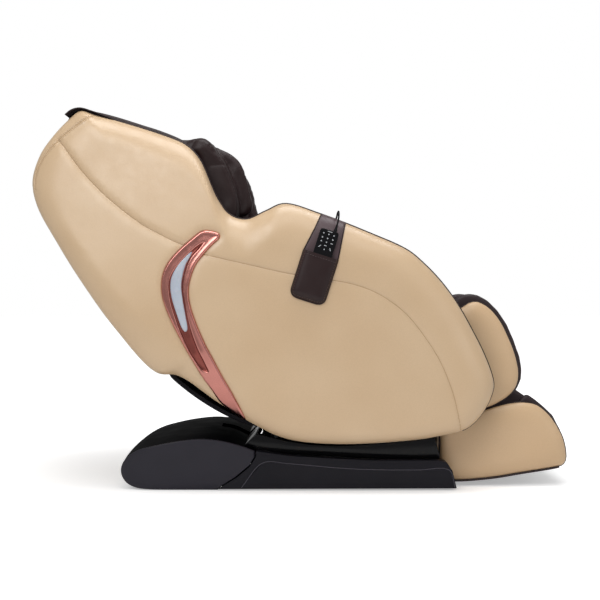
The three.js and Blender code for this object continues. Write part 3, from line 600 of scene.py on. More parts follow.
# Lighter satin for the thin bead along the step panel's edge: a painted highlight on that edge.
STEP_EDGE_HIGHLIGHT = plastic("black_satin_edge_painted_highlight", colour(66, 64, 72), 0.35)
TOP_BLACK = plastic("black_base_top", colour(3, 3, 5), 0.5, 500.0, 0.03, gloss=0.005)
GLOSS = plastic("black_gloss", colour(7, 7, 10), 0.18, 500.0, 0.03, 0.08, 0.2)
ROSE = metal("rose_gold", colour(205, 138, 128), 0.20)
# Darker rose metal for the recess floor: painted shade in the recess.
ROSE_RECESS_SHADE = metal("rose_gold_recess_painted_shade", colour(150, 84, 76), 0.30)
STEEL = metal("steel", colour(160, 162, 166), 0.32, (1.0, 12.0, 1.0))
FRAME_STEEL = plastic("painted_steel", colour(34, 35, 38), 0.45, 700.0, 0.2)
MECHANISM = plastic("mechanism", colour(28, 29, 32), 0.5, 900.0, 0.2)
RUBBER = plastic("rubber", colour(16, 16, 19), 0.72, 900.0, 0.35, gloss=0.2)
KEY_PAINT = plastic("key_paint", colour(176, 178, 182), 0.5, 1400.0, 0.05)
CLOTH = mesh_cloth("backing_cloth", colour(4, 4, 6), colour(26, 25, 30))


def lamp_material():
    """Frosted lamp lens with a faint diffusing pattern behind a glossy face."""
    shader = Shader("lamp_lens", Specular_IOR_Level=0.5, Coat_Weight=0.4, Coat_Roughness=0.05,
                    Subsurface_Weight=0.1)
    shader.link(shader.ramp(shader.noise(9.0, 2.0), colour(174, 181, 194), colour(196, 201, 210)),
                "Base Color")
    shader.link(shader.span(shader.noise(30.0, 3.0), 0.2, 0.3), "Roughness")
    shader.bump([(shader.noise(500.0, 1.0), 0.05, 0.0002)])
    return shader.material


LAMP = lamp_material()
SLOT_MATERIAL = {
    "beige_leather": BEIGE, "brown_leather": BROWN, "liner_leather": LINER, "black_satin": SATIN,
    "black_gloss": GLOSS, "rose_gold": ROSE, "lamp_white": LAMP, "steel": STEEL,
    "frame_steel": FRAME_STEEL, "mechanism": MECHANISM, "rubber": RUBBER,
}
for node_name, node in NODES.items():
    node.data.materials.clear()
    node.data.materials.append(SLOT_MATERIAL[NODE_SLOT[node_name]])


# ---- camera, light and floor ----------------------------------------------------------------
CAMERA_PLACE = (-0.004, -3.45, 0.5456)
CAMERA_LENS = 65.8
AMBIENT = 0.39


def add_camera():
    data = bpy.data.cameras.new("camera")
    data.sensor_width = 36
    data.lens = CAMERA_LENS
    camera = bpy.data.objects.new("camera", data)
    camera.location = CAMERA_PLACE
    camera.rotation_euler = (math.pi / 2, 0, 0)
    bpy.context.scene.collection.objects.link(camera)
    bpy.context.scene.camera = camera


def add_light(name, place, target, size, energy):
    data = bpy.data.lights.new(name, "AREA")
    data.shape = "RECTANGLE"
    data.size, data.size_y = size
    data.energy = energy
    light = bpy.data.objects.new(name, data)
    light.location = place
    heading = Vector(target) - Vector(place)
    light.rotation_euler = heading.to_track_quat("-Z", "Y").to_euler()
    bpy.context.scene.collection.objects.link(light)


def add_world():
    """A white backdrop to the camera, and a dimmer even light to everything else."""
    world = bpy.data.worlds.new("studio")
    world.use_nodes = True
    tree = world.node_tree
    dim = tree.nodes["Background"]
    white = tree.nodes.new("ShaderNodeBackground")
    mix = tree.nodes.new("ShaderNodeMixShader")
    for background, strength in ((dim, AMBIENT), (white, 1.0)):
        background.inputs["Color"].default_value = (1, 1, 1, 1)
        background.inputs["Strength"].default_value = strength
    rays = tree.nodes.new("ShaderNodeLightPath")
    tree.links.new(rays.outputs["Is Camera Ray"], mix.inputs[0])
    tree.links.new(dim.outputs[0], mix.inputs[1])
    tree.links.new(white.outputs[0], mix.inputs[2])
    tree.links.new(mix.outputs[0], tree.nodes["World Output"].inputs["Surface"])
    bpy.context.scene.world = world


def add_floor():
    """A pale floor that shines a little to the camera, so that it runs into the backdrop."""
    floor = bpy.data.meshes.new("floor")
    reach = 30.0
    corners = [(-reach, -reach, 0), (reach, -reach, 0), (reach, reach, 0), (-reach, reach, 0)]
    floor.from_pydata(corners, [], [(0, 1, 2, 3)])
    paint = Shader("floor_paint", Roughness=0.7)
    paint.link(paint.ramp(paint.noise(3.0), (0.9, 0.9, 0.9, 1), (0.93, 0.93, 0.93, 1)),
               "Base Color")
    far = paint.add("ShaderNodeVectorMath", {0: paint.place}, operation="LENGTH").outputs["Value"]
    glow = paint.add("ShaderNodeMapRange", {
        "Value": far, "From Min": 0.4, "From Max": 1.6, "To Min": 0.36, "To Max": 0.8,
    }, interpolation_type="SMOOTHSTEP").outputs["Result"]
    paint.bsdf.inputs["Emission Color"].default_value = (1, 1, 1, 1)
    seen = paint.add("ShaderNodeLightPath").outputs["Is Camera Ray"]
    paint.link(paint.add("ShaderNodeMath", {0: glow, 1: seen}, operation="MULTIPLY").outputs[0],
               "Emission Strength")
    floor.materials.append(paint.material)
    ground = bpy.data.objects.new("floor", floor)
    bpy.context.scene.collection.objects.link(ground)


def add_studio():
    add_light("key", (-1.6, -3.2, 2.6), (-0.1, 0, 0.6), (1.8, 1.8), 43)
    add_light("top", (0.3, -0.6, 3.2), (0.1, 0, 0.5), (2.6, 1.4), 47)
    add_light("fill", (2.6, -2.6, 1.3), (0.1, 0, 0.5), (1.6, 1.6), 7)
    add_light("arm", (0.5, -2.3, 2.7), (0.1, -0.36, 0.75), (1.6, 0.7), 9)
    add_world()
    add_floor()
    bpy.context.scene.view_settings.view_transform = "Standard"


add_camera()
add_studio()


# ---- the remote's cord ----------------------------------------------------------------------
POUCH_CENTRE = np.array([35.0, 610.5])
POUCH_LEAN = math.radians(17.6)
REMOTE_MIDDLE = 4
REMOTE_Y = 388.8
REMOTE_TOP = 137
RELIEF_TOP = 157.3
CORD_R = 2.5
OVER_THE_ARM = [
    (101.5, -389, 762), (104, -387.5, 775), (105, -380, 787), (104.5, -366, 794.5),
    (103, -348, 793), (101.5, -330, 786.5), (100.5, -308, 781.5), (100, -284, 779),
    (100, -260, 778), (100, -238, 774), (100, -219, 771.5), (100, -204.8, 768), (100, -200.7, 756),
    (100, -200.5, 725), (100, -200.5, 690), (100, -200.5, 650), (100, -200.5, 610),
    (100, -200.5, 570), (100, -200.5, 530), (100, -200.5, 490), (100, -200.5, 455),
    (100, -200.5, 428),
]
COIL_MIDDLE = (70, -158, 399.6)
SEAT_TILT = math.atan(0.156)
OUTER_TURN, INNER_TURN = 30.5, 25.3
LOW_TURN, HIGH_TURN = 3.1, 8.2
GLAND_ROOT_Y, GLAND_TIP_Y = -203.7, -178
TAPER_POINTS = 29


def on_pouch(b, a):
    """Pouch coordinates: b across its face towards the feet, a up its length, to (x, z)."""
    cos, sin = math.cos(POUCH_LEAN), math.sin(POUCH_LEAN)
    return POUCH_CENTRE + np.stack([b * cos + a * sin, -b * sin + a * cos], axis=-1)


def on_coil(along, across, height):
    cos, sin = math.cos(SEAT_TILT), math.sin(SEAT_TILT)
    x, y, z = COIL_MIDDLE
    return (x + along * cos - height * sin, y + across, z + along * sin + height * cos)


def coil_points():
    """Three and a half turns: outer low, inner low, inner high, outer high."""
    turns = []
    for degrees in range(0, 1261, 6):
        inner = smoothstep((degrees - 300) / 40) - smoothstep((degrees - 940) / 40)
        rise = smoothstep((degrees - 620) / 40)
        radius = OUTER_TURN + (INNER_TURN - OUTER_TURN) * inner
        height = LOW_TURN + (HIGH_TURN - LOW_TURN) * rise
        angle = math.radians(degrees)
        turns.append(on_coil(radius * math.cos(angle), radius * math.sin(angle), height))
    return turns


def add_cord():
    x, z = on_pouch(REMOTE_MIDDLE + 14.0, RELIEF_TOP)
    start = (x, -REMOTE_Y, z)
    lead = [start, *OVER_THE_ARM, on_coil(30.5, -38, 8.5), on_coil(30.5, -31, 3.9),
            on_coil(30.5, -19.5, LOW_TURN), on_coil(30.5, -8, LOW_TURN), on_coil(30.5, 0, LOW_TURN)]
    lead = smooth(lead, 6)
    gland_end = on_coil(-OUTER_TURN, GLAND_TIP_Y - COIL_MIDDLE[1] + 0.3, HIGH_TURN)
    turns = coil_points()
    tail = resample(np.array([turns[-1], gland_end]), 4, False)[1:]
    route = np.vstack([lead, turns[1:], tail])
    curve = bpy.data.curves.new("remote_cord", "CURVE")
    curve.dimensions = "3D"
    curve.bevel_depth = CORD_R * MM
    curve.bevel_resolution = 3
    curve.use_fill_caps = True
    spline = curve.splines.new("POLY")
    spline.points.add(len(route) - 1)
    for point, place in zip(spline.points, route):
        point.co = (*(place * MM), 1)
    curve.materials.append(RUBBER)
    cord = bpy.data.objects.new("remote_cord", curve)
    bpy.context.scene.collection.objects.link(cord)
    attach(cord, "body")
    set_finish(cord, "rubber")
    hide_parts("remote_cord_lead", "remote_cord_coil")
    relief, gland = add_cord_ends()
    add_coil_tie()


def ribbed_taper(name, path, wide, narrow, node):
    """A moulded rubber taper with ribs, in place of a CAD node."""
    t = np.linspace(0, 1, len(path))
    ribs = np.where(np.arange(len(path)) % 4 < 2, 0.45, 0.0) * (t > 0.15)
    radii = wide + (narrow - wide) * smoothstep(t * 1.2) + ribs
    piece = mesh_piece(name, *tube(path, radii, 20), [RUBBER], NODES[node]["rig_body"], "rubber")
    piece.data.set_sharp_from_angle(angle=math.radians(50))
    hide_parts(node)
    return piece


def add_cord_ends():
    """The strain relief on the remote, and the gland in the arm that the cord goes into."""
    x, z = on_pouch(np.full(TAPER_POINTS, REMOTE_MIDDLE + 14.0),
                    np.linspace(REMOTE_TOP + 0.3, RELIEF_TOP - 0.3, TAPER_POINTS)).T
    path = np.column_stack([x, np.full(TAPER_POINTS, -REMOTE_Y), z])
    relief = ribbed_taper("remote_relief", path, 5.0, 2.9, "remote_strain_relief")
    path = [on_coil(-OUTER_TURN, y - COIL_MIDDLE[1], HIGH_TURN)
            for y in np.linspace(GLAND_ROOT_Y, GLAND_TIP_Y, TAPER_POINTS)]
    gland = ribbed_taper("arm_gland", path, 5.0, 2.9, "cord_gland")
    return relief, gland


def add_coil_tie():
    """A rubber band round the coil's turns on the side away from the arm."""
    middle = (OUTER_TURN + INNER_TURN) / 2
    half_across, half_high = 6.3, 5.9
    ring = []
    for k in range(24):
        angle = 2 * math.pi * k / 24
        across = half_across * np.sign(math.cos(angle)) * abs(math.cos(angle)) ** 0.6
        up = half_high * np.sign(math.sin(angle)) * abs(math.sin(angle)) ** 0.6
        ring.append((middle + across, max(0.5, (LOW_TURN + HIGH_TURN) / 2 + up)))
    ring = np.array(ring)
    vertices, faces = [], []
    for offset, grow in ((-3.5, 0.0), (-3.5, 0.9), (3.5, 0.9), (3.5, 0.0)):
        centre = ring.mean(0)
        for place in ring:
            away = place - centre
            place = place + away / np.linalg.norm(away) * grow
            vertices.append(on_coil(offset, place[0], max(0.3, place[1])))
    for row in range(4):
        for k in range(24):
            m = (k + 1) % 24
            a, b = row * 24, (row + 1) % 4 * 24
            faces.append((a + k, b + k, b + m, a + m))
    return mesh_piece("cord_tie", vertices, faces, [RUBBER], "body", "rubber")


add_cord()


# ---- side panels --------------------------------------------------------------------------
PANEL_OUTLINE = [
    (-640, 1094), (-596, 1081), (-540, 1066), (-408, 1024), (-335, 993), (-294, 951), (-241, 836),
    (-205, 789), (-158, 775), (-100, 799), (-50, 819), (53, 790), (195, 735), (303, 686),
    (350, 647), (395, 600), (441, 538), (486, 459), (519, 393), (541, 335), (547, 303),
    (539, 270), (517, 228), (487, 193), (460, 176), (400, 161), (337, 150), (108, 136), (-45, 152),
    (-149, 200), (-240, 256), (-350, 330), (-412, 339), (-528, 461), (-637, 608), (-702, 708),
    (-764, 817), (-779, 890), (-757, 966), (-720, 1020), (-677, 1066),
]
PIPING_FROM, PIPING_TO = (-640, 1094), (458, 175)
# How far out the piping lies, from 0 at the panel's inner plane to 1 at its rim.
PIPE_AT = 0.86
SHOULDER_SEAM = [(-698, 1005), (-675, 977), (-629, 917), (-583, 867), (-537, 825), (-491, 788),
                 (-445, 756), (-399, 731), (-352, 708), (-334, 701)]
ARM_SEAM = [(-300, 682), (-266, 672), (-145, 644), (-32, 619), (80, 602), (151, 588), (221, 560),
            (291, 509), (348, 439), (390, 371), (424, 287), (443, 208), (449, 177)]
REAR_SEAM = [(-602, 1077), (-650, 1044), (-698, 1005), (-735, 965), (-757, 925), (-766, 893),
             (-764, 862)]
STRIP_EDGE = [
    (-231, 732), (-258, 741), (-280, 740), (-310, 718), (-345, 687), (-372, 656), (-388, 626),
    (-394, 592), (-392, 560), (-384, 530), (-366, 487), (-340, 436), (-310, 382), (-280, 330),
    (-252, 290), (-229, 254), (-205, 233), (-168, 207), (-157, 204), (-160, 216), (-193, 283),
    (-220, 330), (-246, 379), (-270, 425), (-291, 473), (-306, 514), (-314, 548), (-315, 580),
    (-309, 610), (-296, 644), (-272, 676), (-250, 700), (-228, 722),
]
RECESS_EDGE = [
    (-271, 711), (-292, 700), (-345, 650), (-372, 604), (-372, 556), (-348, 474), (-309, 388),
    (-276, 345), (-258, 343), (-266, 364), (-291, 416), (-311, 475), (-323, 534), (-329, 590),
    (-311, 658), (-283, 692),
]
LENS_EDGE = [
    (-306, 682), (-316, 680), (-348, 646), (-367, 602), (-366, 560), (-350, 505), (-333, 462),
    (-325, 455), (-319, 462), (-324, 500), (-332, 545), (-336, 592), (-324, 645), (-311, 668),
]
PANEL = smooth(PANEL_OUTLINE, 6, True)
PANEL_ANGLES = np.arctan2(PANEL[:, 1] - PANEL_CENTRE[1], PANEL[:, 0] - PANEL_CENTRE[0])
PANEL_REACH = np.hypot(PANEL[:, 0] - PANEL_CENTRE[0], PANEL[:, 1] - PANEL_CENTRE[1])
ANGLE_ORDER = np.argsort(PANEL_ANGLES)


def panel_half(x, z):
    """Half-width of the side panel at (x, z): less at the head, and round at the rim."""
    x, z = np.asarray(x, float), np.asarray(z, float)
    s = (x - HIP[0]) * UP_BACK[0] + (z - HIP[1]) * UP_BACK[1]
    outer = HALF_WIDTH - (HALF_WIDTH - HEAD_HALF_WIDTH) * smoothstep((s - 250) / 650)
    angle = np.arctan2(z - PANEL_CENTRE[1], x - PANEL_CENTRE[0])
    limit = np.interp(angle, PANEL_ANGLES[ANGLE_ORDER], PANEL_REACH[ANGLE_ORDER],
                      period=2 * math.pi)
    reach = np.hypot(x - PANEL_CENTRE[0], z - PANEL_CENTRE[1])
    inset = np.clip(limit - reach, 0, None)
    rounding = 55 + 65 * smoothstep((z - 150) / 300)
    t = np.clip(inset / rounding, 0, 1)
    return outer - CROWN * (1 - np.sqrt(1 - (1 - t) ** 2))


PANEL_RIM = panel_half(PANEL[:, 0], PANEL[:, 1])
PANEL_PIPE = INNER_PLANE + PIPE_AT * (PANEL_RIM - INNER_PLANE)
SEAMS = {
    "shoulder": smooth(SHOULDER_SEAM, 5),
    "arm": smooth(ARM_SEAM, 5),
    "rear": smooth(REAR_SEAM, 5),
}
STRIP = smooth(STRIP_EDGE, 5, True)
RECESS = smooth(RECESS_EDGE, 5, True)
LENS = smooth(LENS_EDGE, 4, True)
# Each seam's fine groove, the wide dip round it, and the welt that stands up beside it, in mm.
SEAM_SHAPE = {"shoulder": (1.8, 3.4, 0.0), "arm": (1.7, 1.6, 0.0), "rear": (1.0, 1.8, 2.2)}


def panel_skin(x, z):
    """panel_half with the seams drawn in, soft waves in the leather, and a bed for the strip."""
    points = np.column_stack([x, z])
    half = panel_half(x, z)
    for name, (fine, wide, welt) in SEAM_SHAPE.items():
        gap, along = distance(points, SEAMS[name])
        pucker = 0.25 * np.sin(along * 2 * math.pi / (2 * STITCH_PITCH)) * bell(gap, 7)
        half = (half - fine * bell(gap, 1.6) - wide * bell(gap, 9) + welt * bell(gap - 4, 2.6)
                + pucker)
    gap, _ = distance(points, STRIP, True)
    inside = within(points, STRIP)
    half = half - np.where(inside, 2.5 + 6 * smoothstep(gap / 4), 2.5 * bell(gap, 9))
    waves = np.sin(x / 47 + 1.3 * np.sin(z / 61)) * np.sin(z / 53 + 0.9 * np.sin(x / 71))
    return half + 0.5 * waves


def near_index(outline, place):
    return int(np.hypot(outline[:, 0] - place[0], outline[:, 1] - place[1]).argmin())


def piping_range():
    """Indices of the panel outline from the head's apex round the front to the lower corner."""
    first, last = near_index(PANEL, PIPING_FROM), near_index(PANEL, PIPING_TO)
    return [i % len(PANEL) for i in range(first, last + (len(PANEL) if last < first else 0) + 1)]


def add_side_panel():
    rows = [beside(line, (0, -1.3, 1.3, -3, 3, -6, 6, -11, 11)) for line in SEAMS.values()]
    rows = [row for group in rows for row in group]
    rows += beside(STRIP, (0, -4, 4, -9, 9, -14, 14), True)
    rows += inset_rows(PANEL, (1.0, 2.5, 5, 8.5, 13, 19, 26, 34, 44, 56))
    piped = set(piping_range())
    band = np.array([2.0 if i in piped else 0.0 for i in range(len(PANEL))])[:, None]

    def band_material(i, k):
        return 1 if k == -1 or (k == 2 and i in piped) else 0

    rings = [(-0.2, 0.5 * (PANEL_RIM + PANEL_PIPE)), (0.0, PANEL_PIPE), (band, INNER_PLANE + 0.3)]
    panel = plate(PANEL, rows, 10, panel_skin, rings, [BEIGE, BROWN, SEAM_PAINTED_SHADE],
                  "side_panel_right", "body", "beige_leather", band_material)
    shade_seams(panel)
    both_sides(panel, "side_panel", "body", "side_shell")


def shade_seams(panel):
    """The faces in the bottom of each seam get a darker leather: painted shade in the seam's
    groove.
    """
    numbers = np.empty(len(panel.data.polygons), np.int32)
    panel.data.polygons.foreach_get("material_index", numbers)
    centres = np.empty(len(numbers) * 3)
    panel.data.polygons.foreach_get("center", centres)
    centres = centres.reshape(-1, 3)[:, [0, 2]] / MM
    for line in SEAMS.values():
        gap, _ = distance(centres, line)
        numbers[(gap < 1.3) & (numbers == 0)] = 2
    panel.data.polygons.foreach_set("material_index", numbers)


def add_panel_piping():
    out = PANEL - inward(PANEL) * 1.2
    path = [(out[i, 0], -PANEL_PIPE[i], out[i, 1]) for i in piping_range()[::2]]
    piping = mesh_piece("side_piping_right", *tube(path, 2.8, 8), [BROWN], "body", "brown_leather")
    both_sides(piping, "side_piping", "body")


def add_panel_stitching():
    rows = []
    for name, offsets in (("shoulder", (-4.5,)), ("arm", (-4.5, 4.5)), ("rear", (4.5, -4.5))):
        for line in beside(SEAMS[name], offsets):
            line = line[~within(line, STRIP)]
            gap, _ = distance(line, STRIP, True)
            line = line[(gap > 6) & within(line, PANEL)]
            half = panel_skin(line[:, 0], line[:, 1])
            rows.append(stitch_row(np.column_stack([line[:, 0], -half - 0.15, line[:, 1]])))
    stitching = mesh_piece("side_stitching_right", *merged(rows), [THREAD], "body", "beige_leather")
    both_sides(stitching, "side_stitching", "body")


def strip_face(x, z):
    """The rose-gold strip: rounded rims round a recess, and a flat tail."""
    points = np.column_stack([x, z])
    edge, _ = distance(points, STRIP, True)
    recess, _ = distance(points, RECESS, True)
    recess = np.where(within(points, RECESS), recess, 0)
    rounded = 1 - np.clip(1 - edge / 5, 0, 1) ** 2
    crest = 1.3 * bell(edge - 6.5, 3.5)
    return panel_half(x, z) - 3 + 6.2 * np.sqrt(np.clip(rounded, 0, 1)) + crest \
        - 5.6 * smoothstep(recess / 6)


def lens_face(x, z):
    points = np.column_stack([x, z])
    edge, _ = distance(points, LENS, True)
    rounded = np.sqrt(np.clip(1 - np.clip(1 - edge / 6, 0, 1) ** 2, 0, 1))
    return panel_half(x, z) - 3.4 + 3.4 * rounded + 0.06 * np.clip(edge, 0, 16)


def add_trim():
    rows = inset_rows(STRIP, (0.7, 1.8, 3.2, 5, 7, 9.5, 12))
    rows += beside(RECESS, (0, -2, 2, -4, 4, -6, 6), True)
    back = panel_half(STRIP[:, 0], STRIP[:, 1]) - 5.5
    strip = plate(STRIP, rows, 5, strip_face, [(0, back)], [ROSE], "trim_right", "body",
                  "rose_gold")
    recess_shade_paint(strip)
    both_sides(strip, "trim", "body", "trim_strip")
    rows = inset_rows(LENS, (0.6, 1.5, 2.8, 4.3, 6))
    back = panel_half(LENS[:, 0], LENS[:, 1]) - 5
    lens = plate(LENS, rows, 4, lens_face, [(0, back)], [LAMP], "lamp_right", "body", "lamp_white")
    both_sides(lens, "lamp", "body", "lamp_lens")


def recess_shade_paint(strip):
    """The recess floor gets a darker, rougher rose metal than the rims: painted shade in the
    recess.
    """
    strip.data.materials.append(ROSE_RECESS_SHADE)
    centres = np.array([(p.center.x / MM, p.center.z / MM) for p in strip.data.polygons])
    gap, _ = distance(centres, RECESS, True)
    deep = within(centres, RECESS) & (gap > 2)
    strip.data.polygons.foreach_set("material_index", deep.astype(np.int32))


add_side_panel()
add_panel_piping()
add_panel_stitching()
add_trim()


# ---- the remote's pouch -----------------------------------------------------------------------
STRAP_END_Y = -292
STRAP_ROWS, STRAP_COLUMNS = 72, 33
# Places up the pouch, with the strap's two edges there.
STRAP_EDGES = np.array([(-42, -49, 49), (64, -50, 50), (128, -39, 43), (200, -30, 36)], float)
POUCH_HALF = 50.5
POUCH_CORNER = 22.0
POUCH_BOTTOM, POUCH_MOUTH = -70.5, 64.5
POUCH_RISE = 16.5
POUCH_ROWS, POUCH_COLUMNS = 76, 57
HEM_DEPTH = 8.5


def strap_line(u):
    """A line up the strap, u across it: over the panel's skin, round its rim and onto its top."""
    a = np.linspace(-42, 230, 900)
    places, near, far = STRAP_EDGES.T
    b = (1 - u) * np.interp(a, places, near) + u * np.interp(a, places, far)
    flat = on_pouch(b, a)
    flat = flat[: np.argmin(within(flat, PANEL))]
    face = np.column_stack([flat[:, 0], -panel_half(flat[:, 0], flat[:, 1]), flat[:, 1]])
    top = [(face[-1][0], y, face[-1][2]) for y in np.linspace(face[-1][1], STRAP_END_Y, 12)[1:]]
    return resample(np.vstack([face, top]), STRAP_ROWS, False)


def add_strap():
    across = np.linspace(0, 1, STRAP_COLUMNS)
    middle = np.stack([strap_line(u) for u in across], axis=1)
    away = -grid_normals(middle)
    edge = np.abs(2 * across - 1)[None, :, None]
    outer = middle + away * (2.8 - 1.0 * edge**10)
    sheet_piece(outer, middle + away * 0.6, [STRAP], "pouch_strap", "body", "brown_leather")
    bindings = [tube(middle[:, k] + away[:, k] * 1.7, 1.9, 8) for k in (0, -1)]
    mesh_piece("pouch_strap_binding", *merged(bindings), [BROWN], "body", "brown_leather")
    start = STRAP_ROWS // 2
    rows = [stitch_row(outer[start:, k] + away[start:, k] * 0.2) for k in (2, -3)]
    mesh_piece("pouch_strap_stitching", *merged(rows), [DARK_THREAD], "body", "brown_leather")


def pouch_half(a):
    """Half the pouch's width, less round its lower corners."""
    turn = np.clip(POUCH_BOTTOM + POUCH_CORNER - a, 0, POUCH_CORNER)
    return POUCH_HALF - POUCH_CORNER + np.sqrt(POUCH_CORNER**2 - turn**2)


def pouch_point(b, a, lift):
    """A point of the pouch's bulging front, raised by lift."""
    b, a = np.broadcast_arrays(np.asarray(b, float), np.asarray(a, float))
    u = np.clip(b / pouch_half(a), -1, 1)
    up = np.clip((a - POUCH_BOTTOM) / 24, 0, 1)
    rise = POUCH_RISE * (1 - np.abs(u) ** 5) ** 0.6 * (1 - (1 - up) ** 2.4)
    slack = 0.6 * np.sin(a / 13 + 1.4 * u) * np.sin(2.3 * u + a / 29) * (1 - np.abs(u))
    hem = 0.9 * smoothstep((a - POUCH_MOUTH + HEM_DEPTH) / 1.2) * (1 - np.abs(u) ** 8)
    x, z = np.moveaxis(on_pouch(b, a), -1, 0)
    return np.stack([x, -(panel_half(x, z) + 2.6 + rise + slack + hem + lift), z], axis=-1)


def add_pouch():
    ups = np.linspace(POUCH_BOTTOM, POUCH_MOUTH, POUCH_ROWS)[:, None]
    across = np.sin(np.linspace(-1, 1, POUCH_COLUMNS) * math.pi / 2)[None]
    wide = across * pouch_half(ups)
    front = sheet_piece(pouch_point(wide, ups, 0), pouch_point(wide, ups, -1.8), [BROWN],
                        "pouch_front", "body", "brown_leather")
    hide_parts("remote_pouch")
    sides = np.linspace(POUCH_MOUTH, POUCH_BOTTOM, 60)
    bottom = np.linspace(1, -1, 20)[1:-1] * (POUCH_HALF - POUCH_CORNER)
    b = np.concatenate([pouch_half(sides), bottom, -pouch_half(sides[::-1])])
    a = np.concatenate([sides, np.full(18, POUCH_BOTTOM), sides[::-1]])
    piping = tube(pouch_point(b, a, 0.3), 1.8, 8)
    mesh_piece("pouch_piping", *piping, [BROWN], "body", "brown_leather")
    border = pouch_point(b * (1 - 5.5 / POUCH_HALF), np.maximum(a, POUCH_BOTTOM + 6), 0.3)
    hem_b = np.linspace(-POUCH_HALF + 6, POUCH_HALF - 6, 40)
    hem = pouch_point(hem_b, np.full(40, POUCH_MOUTH - HEM_DEPTH - 0.4), 0.3)
    rows = [stitch_row(border), stitch_row(hem)]
    mesh_piece("pouch_stitching", *merged(rows), [DARK_THREAD], "body", "brown_leather")


add_strap()
add_pouch()


# ---- pieces made from CAD solids ------------------------------------------------------------
def node_copy(node, name):
    """A new object with a CAD node's mesh, its doubles merged and its flat faces whole."""
    mesh = NODES[node].data.copy()
    mesh.name = name
    bm = bmesh.new()
    bm.from_mesh(mesh)
    bmesh.ops.remove_doubles(bm, verts=bm.verts, dist=0.00002)
    bmesh.ops.dissolve_limit(bm, angle_limit=math.radians(0.5), verts=bm.verts, edges=bm.edges)
    bm.to_mesh(mesh)
    bm.free()
    piece = bpy.data.objects.new(name, mesh)
    bpy.context.scene.collection.objects.link(piece)
    return piece


def apply_modifiers(piece):
    """Bakes a piece's modifiers into its mesh."""
    graph = bpy.context.evaluated_depsgraph_get()
    mesh = bpy.data.meshes.new_from_object(piece.evaluated_get(graph), depsgraph=graph)
    piece.modifiers.clear()
    old = piece.data
    piece.data = mesh
    bpy.data.meshes.remove(old)


def repaint(piece, materials):
    piece.data.materials.clear()
    for material in materials:
        piece.data.materials.append(material)


def moulded(node, name, width, materials, segments=3):
    """A CAD node with rounded edges, as moulded or pressed parts have."""
    piece = node_copy(node, name)
    bevel = piece.modifiers.new("edges", "BEVEL")
    bevel.width = width * MM
    bevel.segments = segments
    bevel.limit_method = "ANGLE"
    bevel.angle_limit = math.radians(32)
    bpy.context.view_layer.update()
    apply_modifiers(piece)
    repaint(piece, materials)
    piece.data.shade_smooth()
    piece.data.set_sharp_from_angle(angle=math.radians(40))
    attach(piece, NODES[node]["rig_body"])
    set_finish(piece, NODE_SLOT[node])
    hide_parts(node)
    return piece


def coordinates(piece):
    co = np.empty(len(piece.data.vertices) * 3)
    piece.data.vertices.foreach_get("co", co)
    return co.reshape(-1, 3) / MM


def set_coordinates(piece, co):
    piece.data.vertices.foreach_set("co", (co * MM).ravel())
    piece.data.update()


def vertex_normals(piece):
    normals = np.empty(len(piece.data.vertices) * 3)
    piece.data.vertices.foreach_get("normal", normals)
    return normals.reshape(-1, 3)


def remeshed(node, name, voxel, shrink, relax):
    """A CAD soft solid as an even mesh, relaxed and drawn in by `shrink`."""
    piece = node_copy(node, name)
    remesh = piece.modifiers.new("remesh", "REMESH")
    remesh.mode = "VOXEL"
    remesh.voxel_size = voxel * MM
    bpy.context.view_layer.update()
    apply_modifiers(piece)
    bm = bmesh.new()
    bm.from_mesh(piece.data)
    for _ in range(relax):
        bmesh.ops.smooth_vert(bm, verts=bm.verts, factor=0.5, use_axis_x=True, use_axis_y=True,
                              use_axis_z=True)
    bm.to_mesh(piece.data)
    bm.free()
    set_coordinates(piece, coordinates(piece) - vertex_normals(piece) * shrink)
    return piece


PUFF_FRAMES = 16


def puff(piece, pressure, cap):
    """Inflates a pad as cloth under pressure, no point moving further than `cap`."""
    rest = coordinates(piece)
    cloth = piece.modifiers.new("cloth", "CLOTH")
    cloth.settings.use_pressure = True
    cloth.settings.uniform_pressure_force = pressure
    cloth.settings.effector_weights.gravity = 0
    cloth.settings.quality = 4
    cloth.settings.tension_stiffness = 12
    cloth.settings.compression_stiffness = 12
    cloth.settings.bending_stiffness = 0.4
    cloth.point_cache.frame_end = PUFF_FRAMES
    scene = bpy.context.scene
    for number in range(1, PUFF_FRAMES + 1):
        scene.frame_set(number)
    apply_modifiers(piece)
    scene.frame_set(1)
    moved = coordinates(piece) - rest
    far = np.linalg.norm(moved, axis=1, keepdims=True)
    set_coordinates(piece, rest + moved * np.minimum(1, cap / np.maximum(far, 1e-9)))


def subdivided(piece):
    modifier = piece.modifiers.new("subdivide", "SUBSURF")
    modifier.levels = modifier.render_levels = 1
    bpy.context.view_layer.update()
    apply_modifiers(piece)


def pressed(piece, depth_at):
    """Moves every point in along its normal by depth_at(coordinates)."""
    co = coordinates(piece)
    set_coordinates(piece, co - vertex_normals(piece) * depth_at(co)[:, None])


def creases(co, amount, scale):
    """Soft irregular waves in loose leather, as a depth at each point."""
    x, y, z = co.T / scale
    waves = np.sin(2.1 * x + 1.7 * np.sin(1.3 * z + 0.4)) * np.sin(1.9 * y + 1.1 * np.sin(1.7 * x))
    return amount * waves * (0.6 + 0.4 * np.sin(0.7 * z + 2.0 * y))


def finished_pad(piece, node, material, depth_at, body):
    """A pad subdivided, with its seams pressed in, in its CAD node's place."""
    subdivided(piece)
    pressed(piece, depth_at)
    repaint(piece, [material])
    piece.data.shade_smooth()
    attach(piece, body)
    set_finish(piece, NODE_SLOT[node])
    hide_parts(node)
    return piece


def cushion(node, name, voxel, shrink, pressure, cap, depth_at, relax=3):
    """One padded piece of the body: remeshed, inflated as cloth, and finished."""
    piece = remeshed(node, name, voxel, shrink, relax)
    puff(piece, pressure, cap)
    return finished_pad(piece, node, BROWN, depth_at, "body")


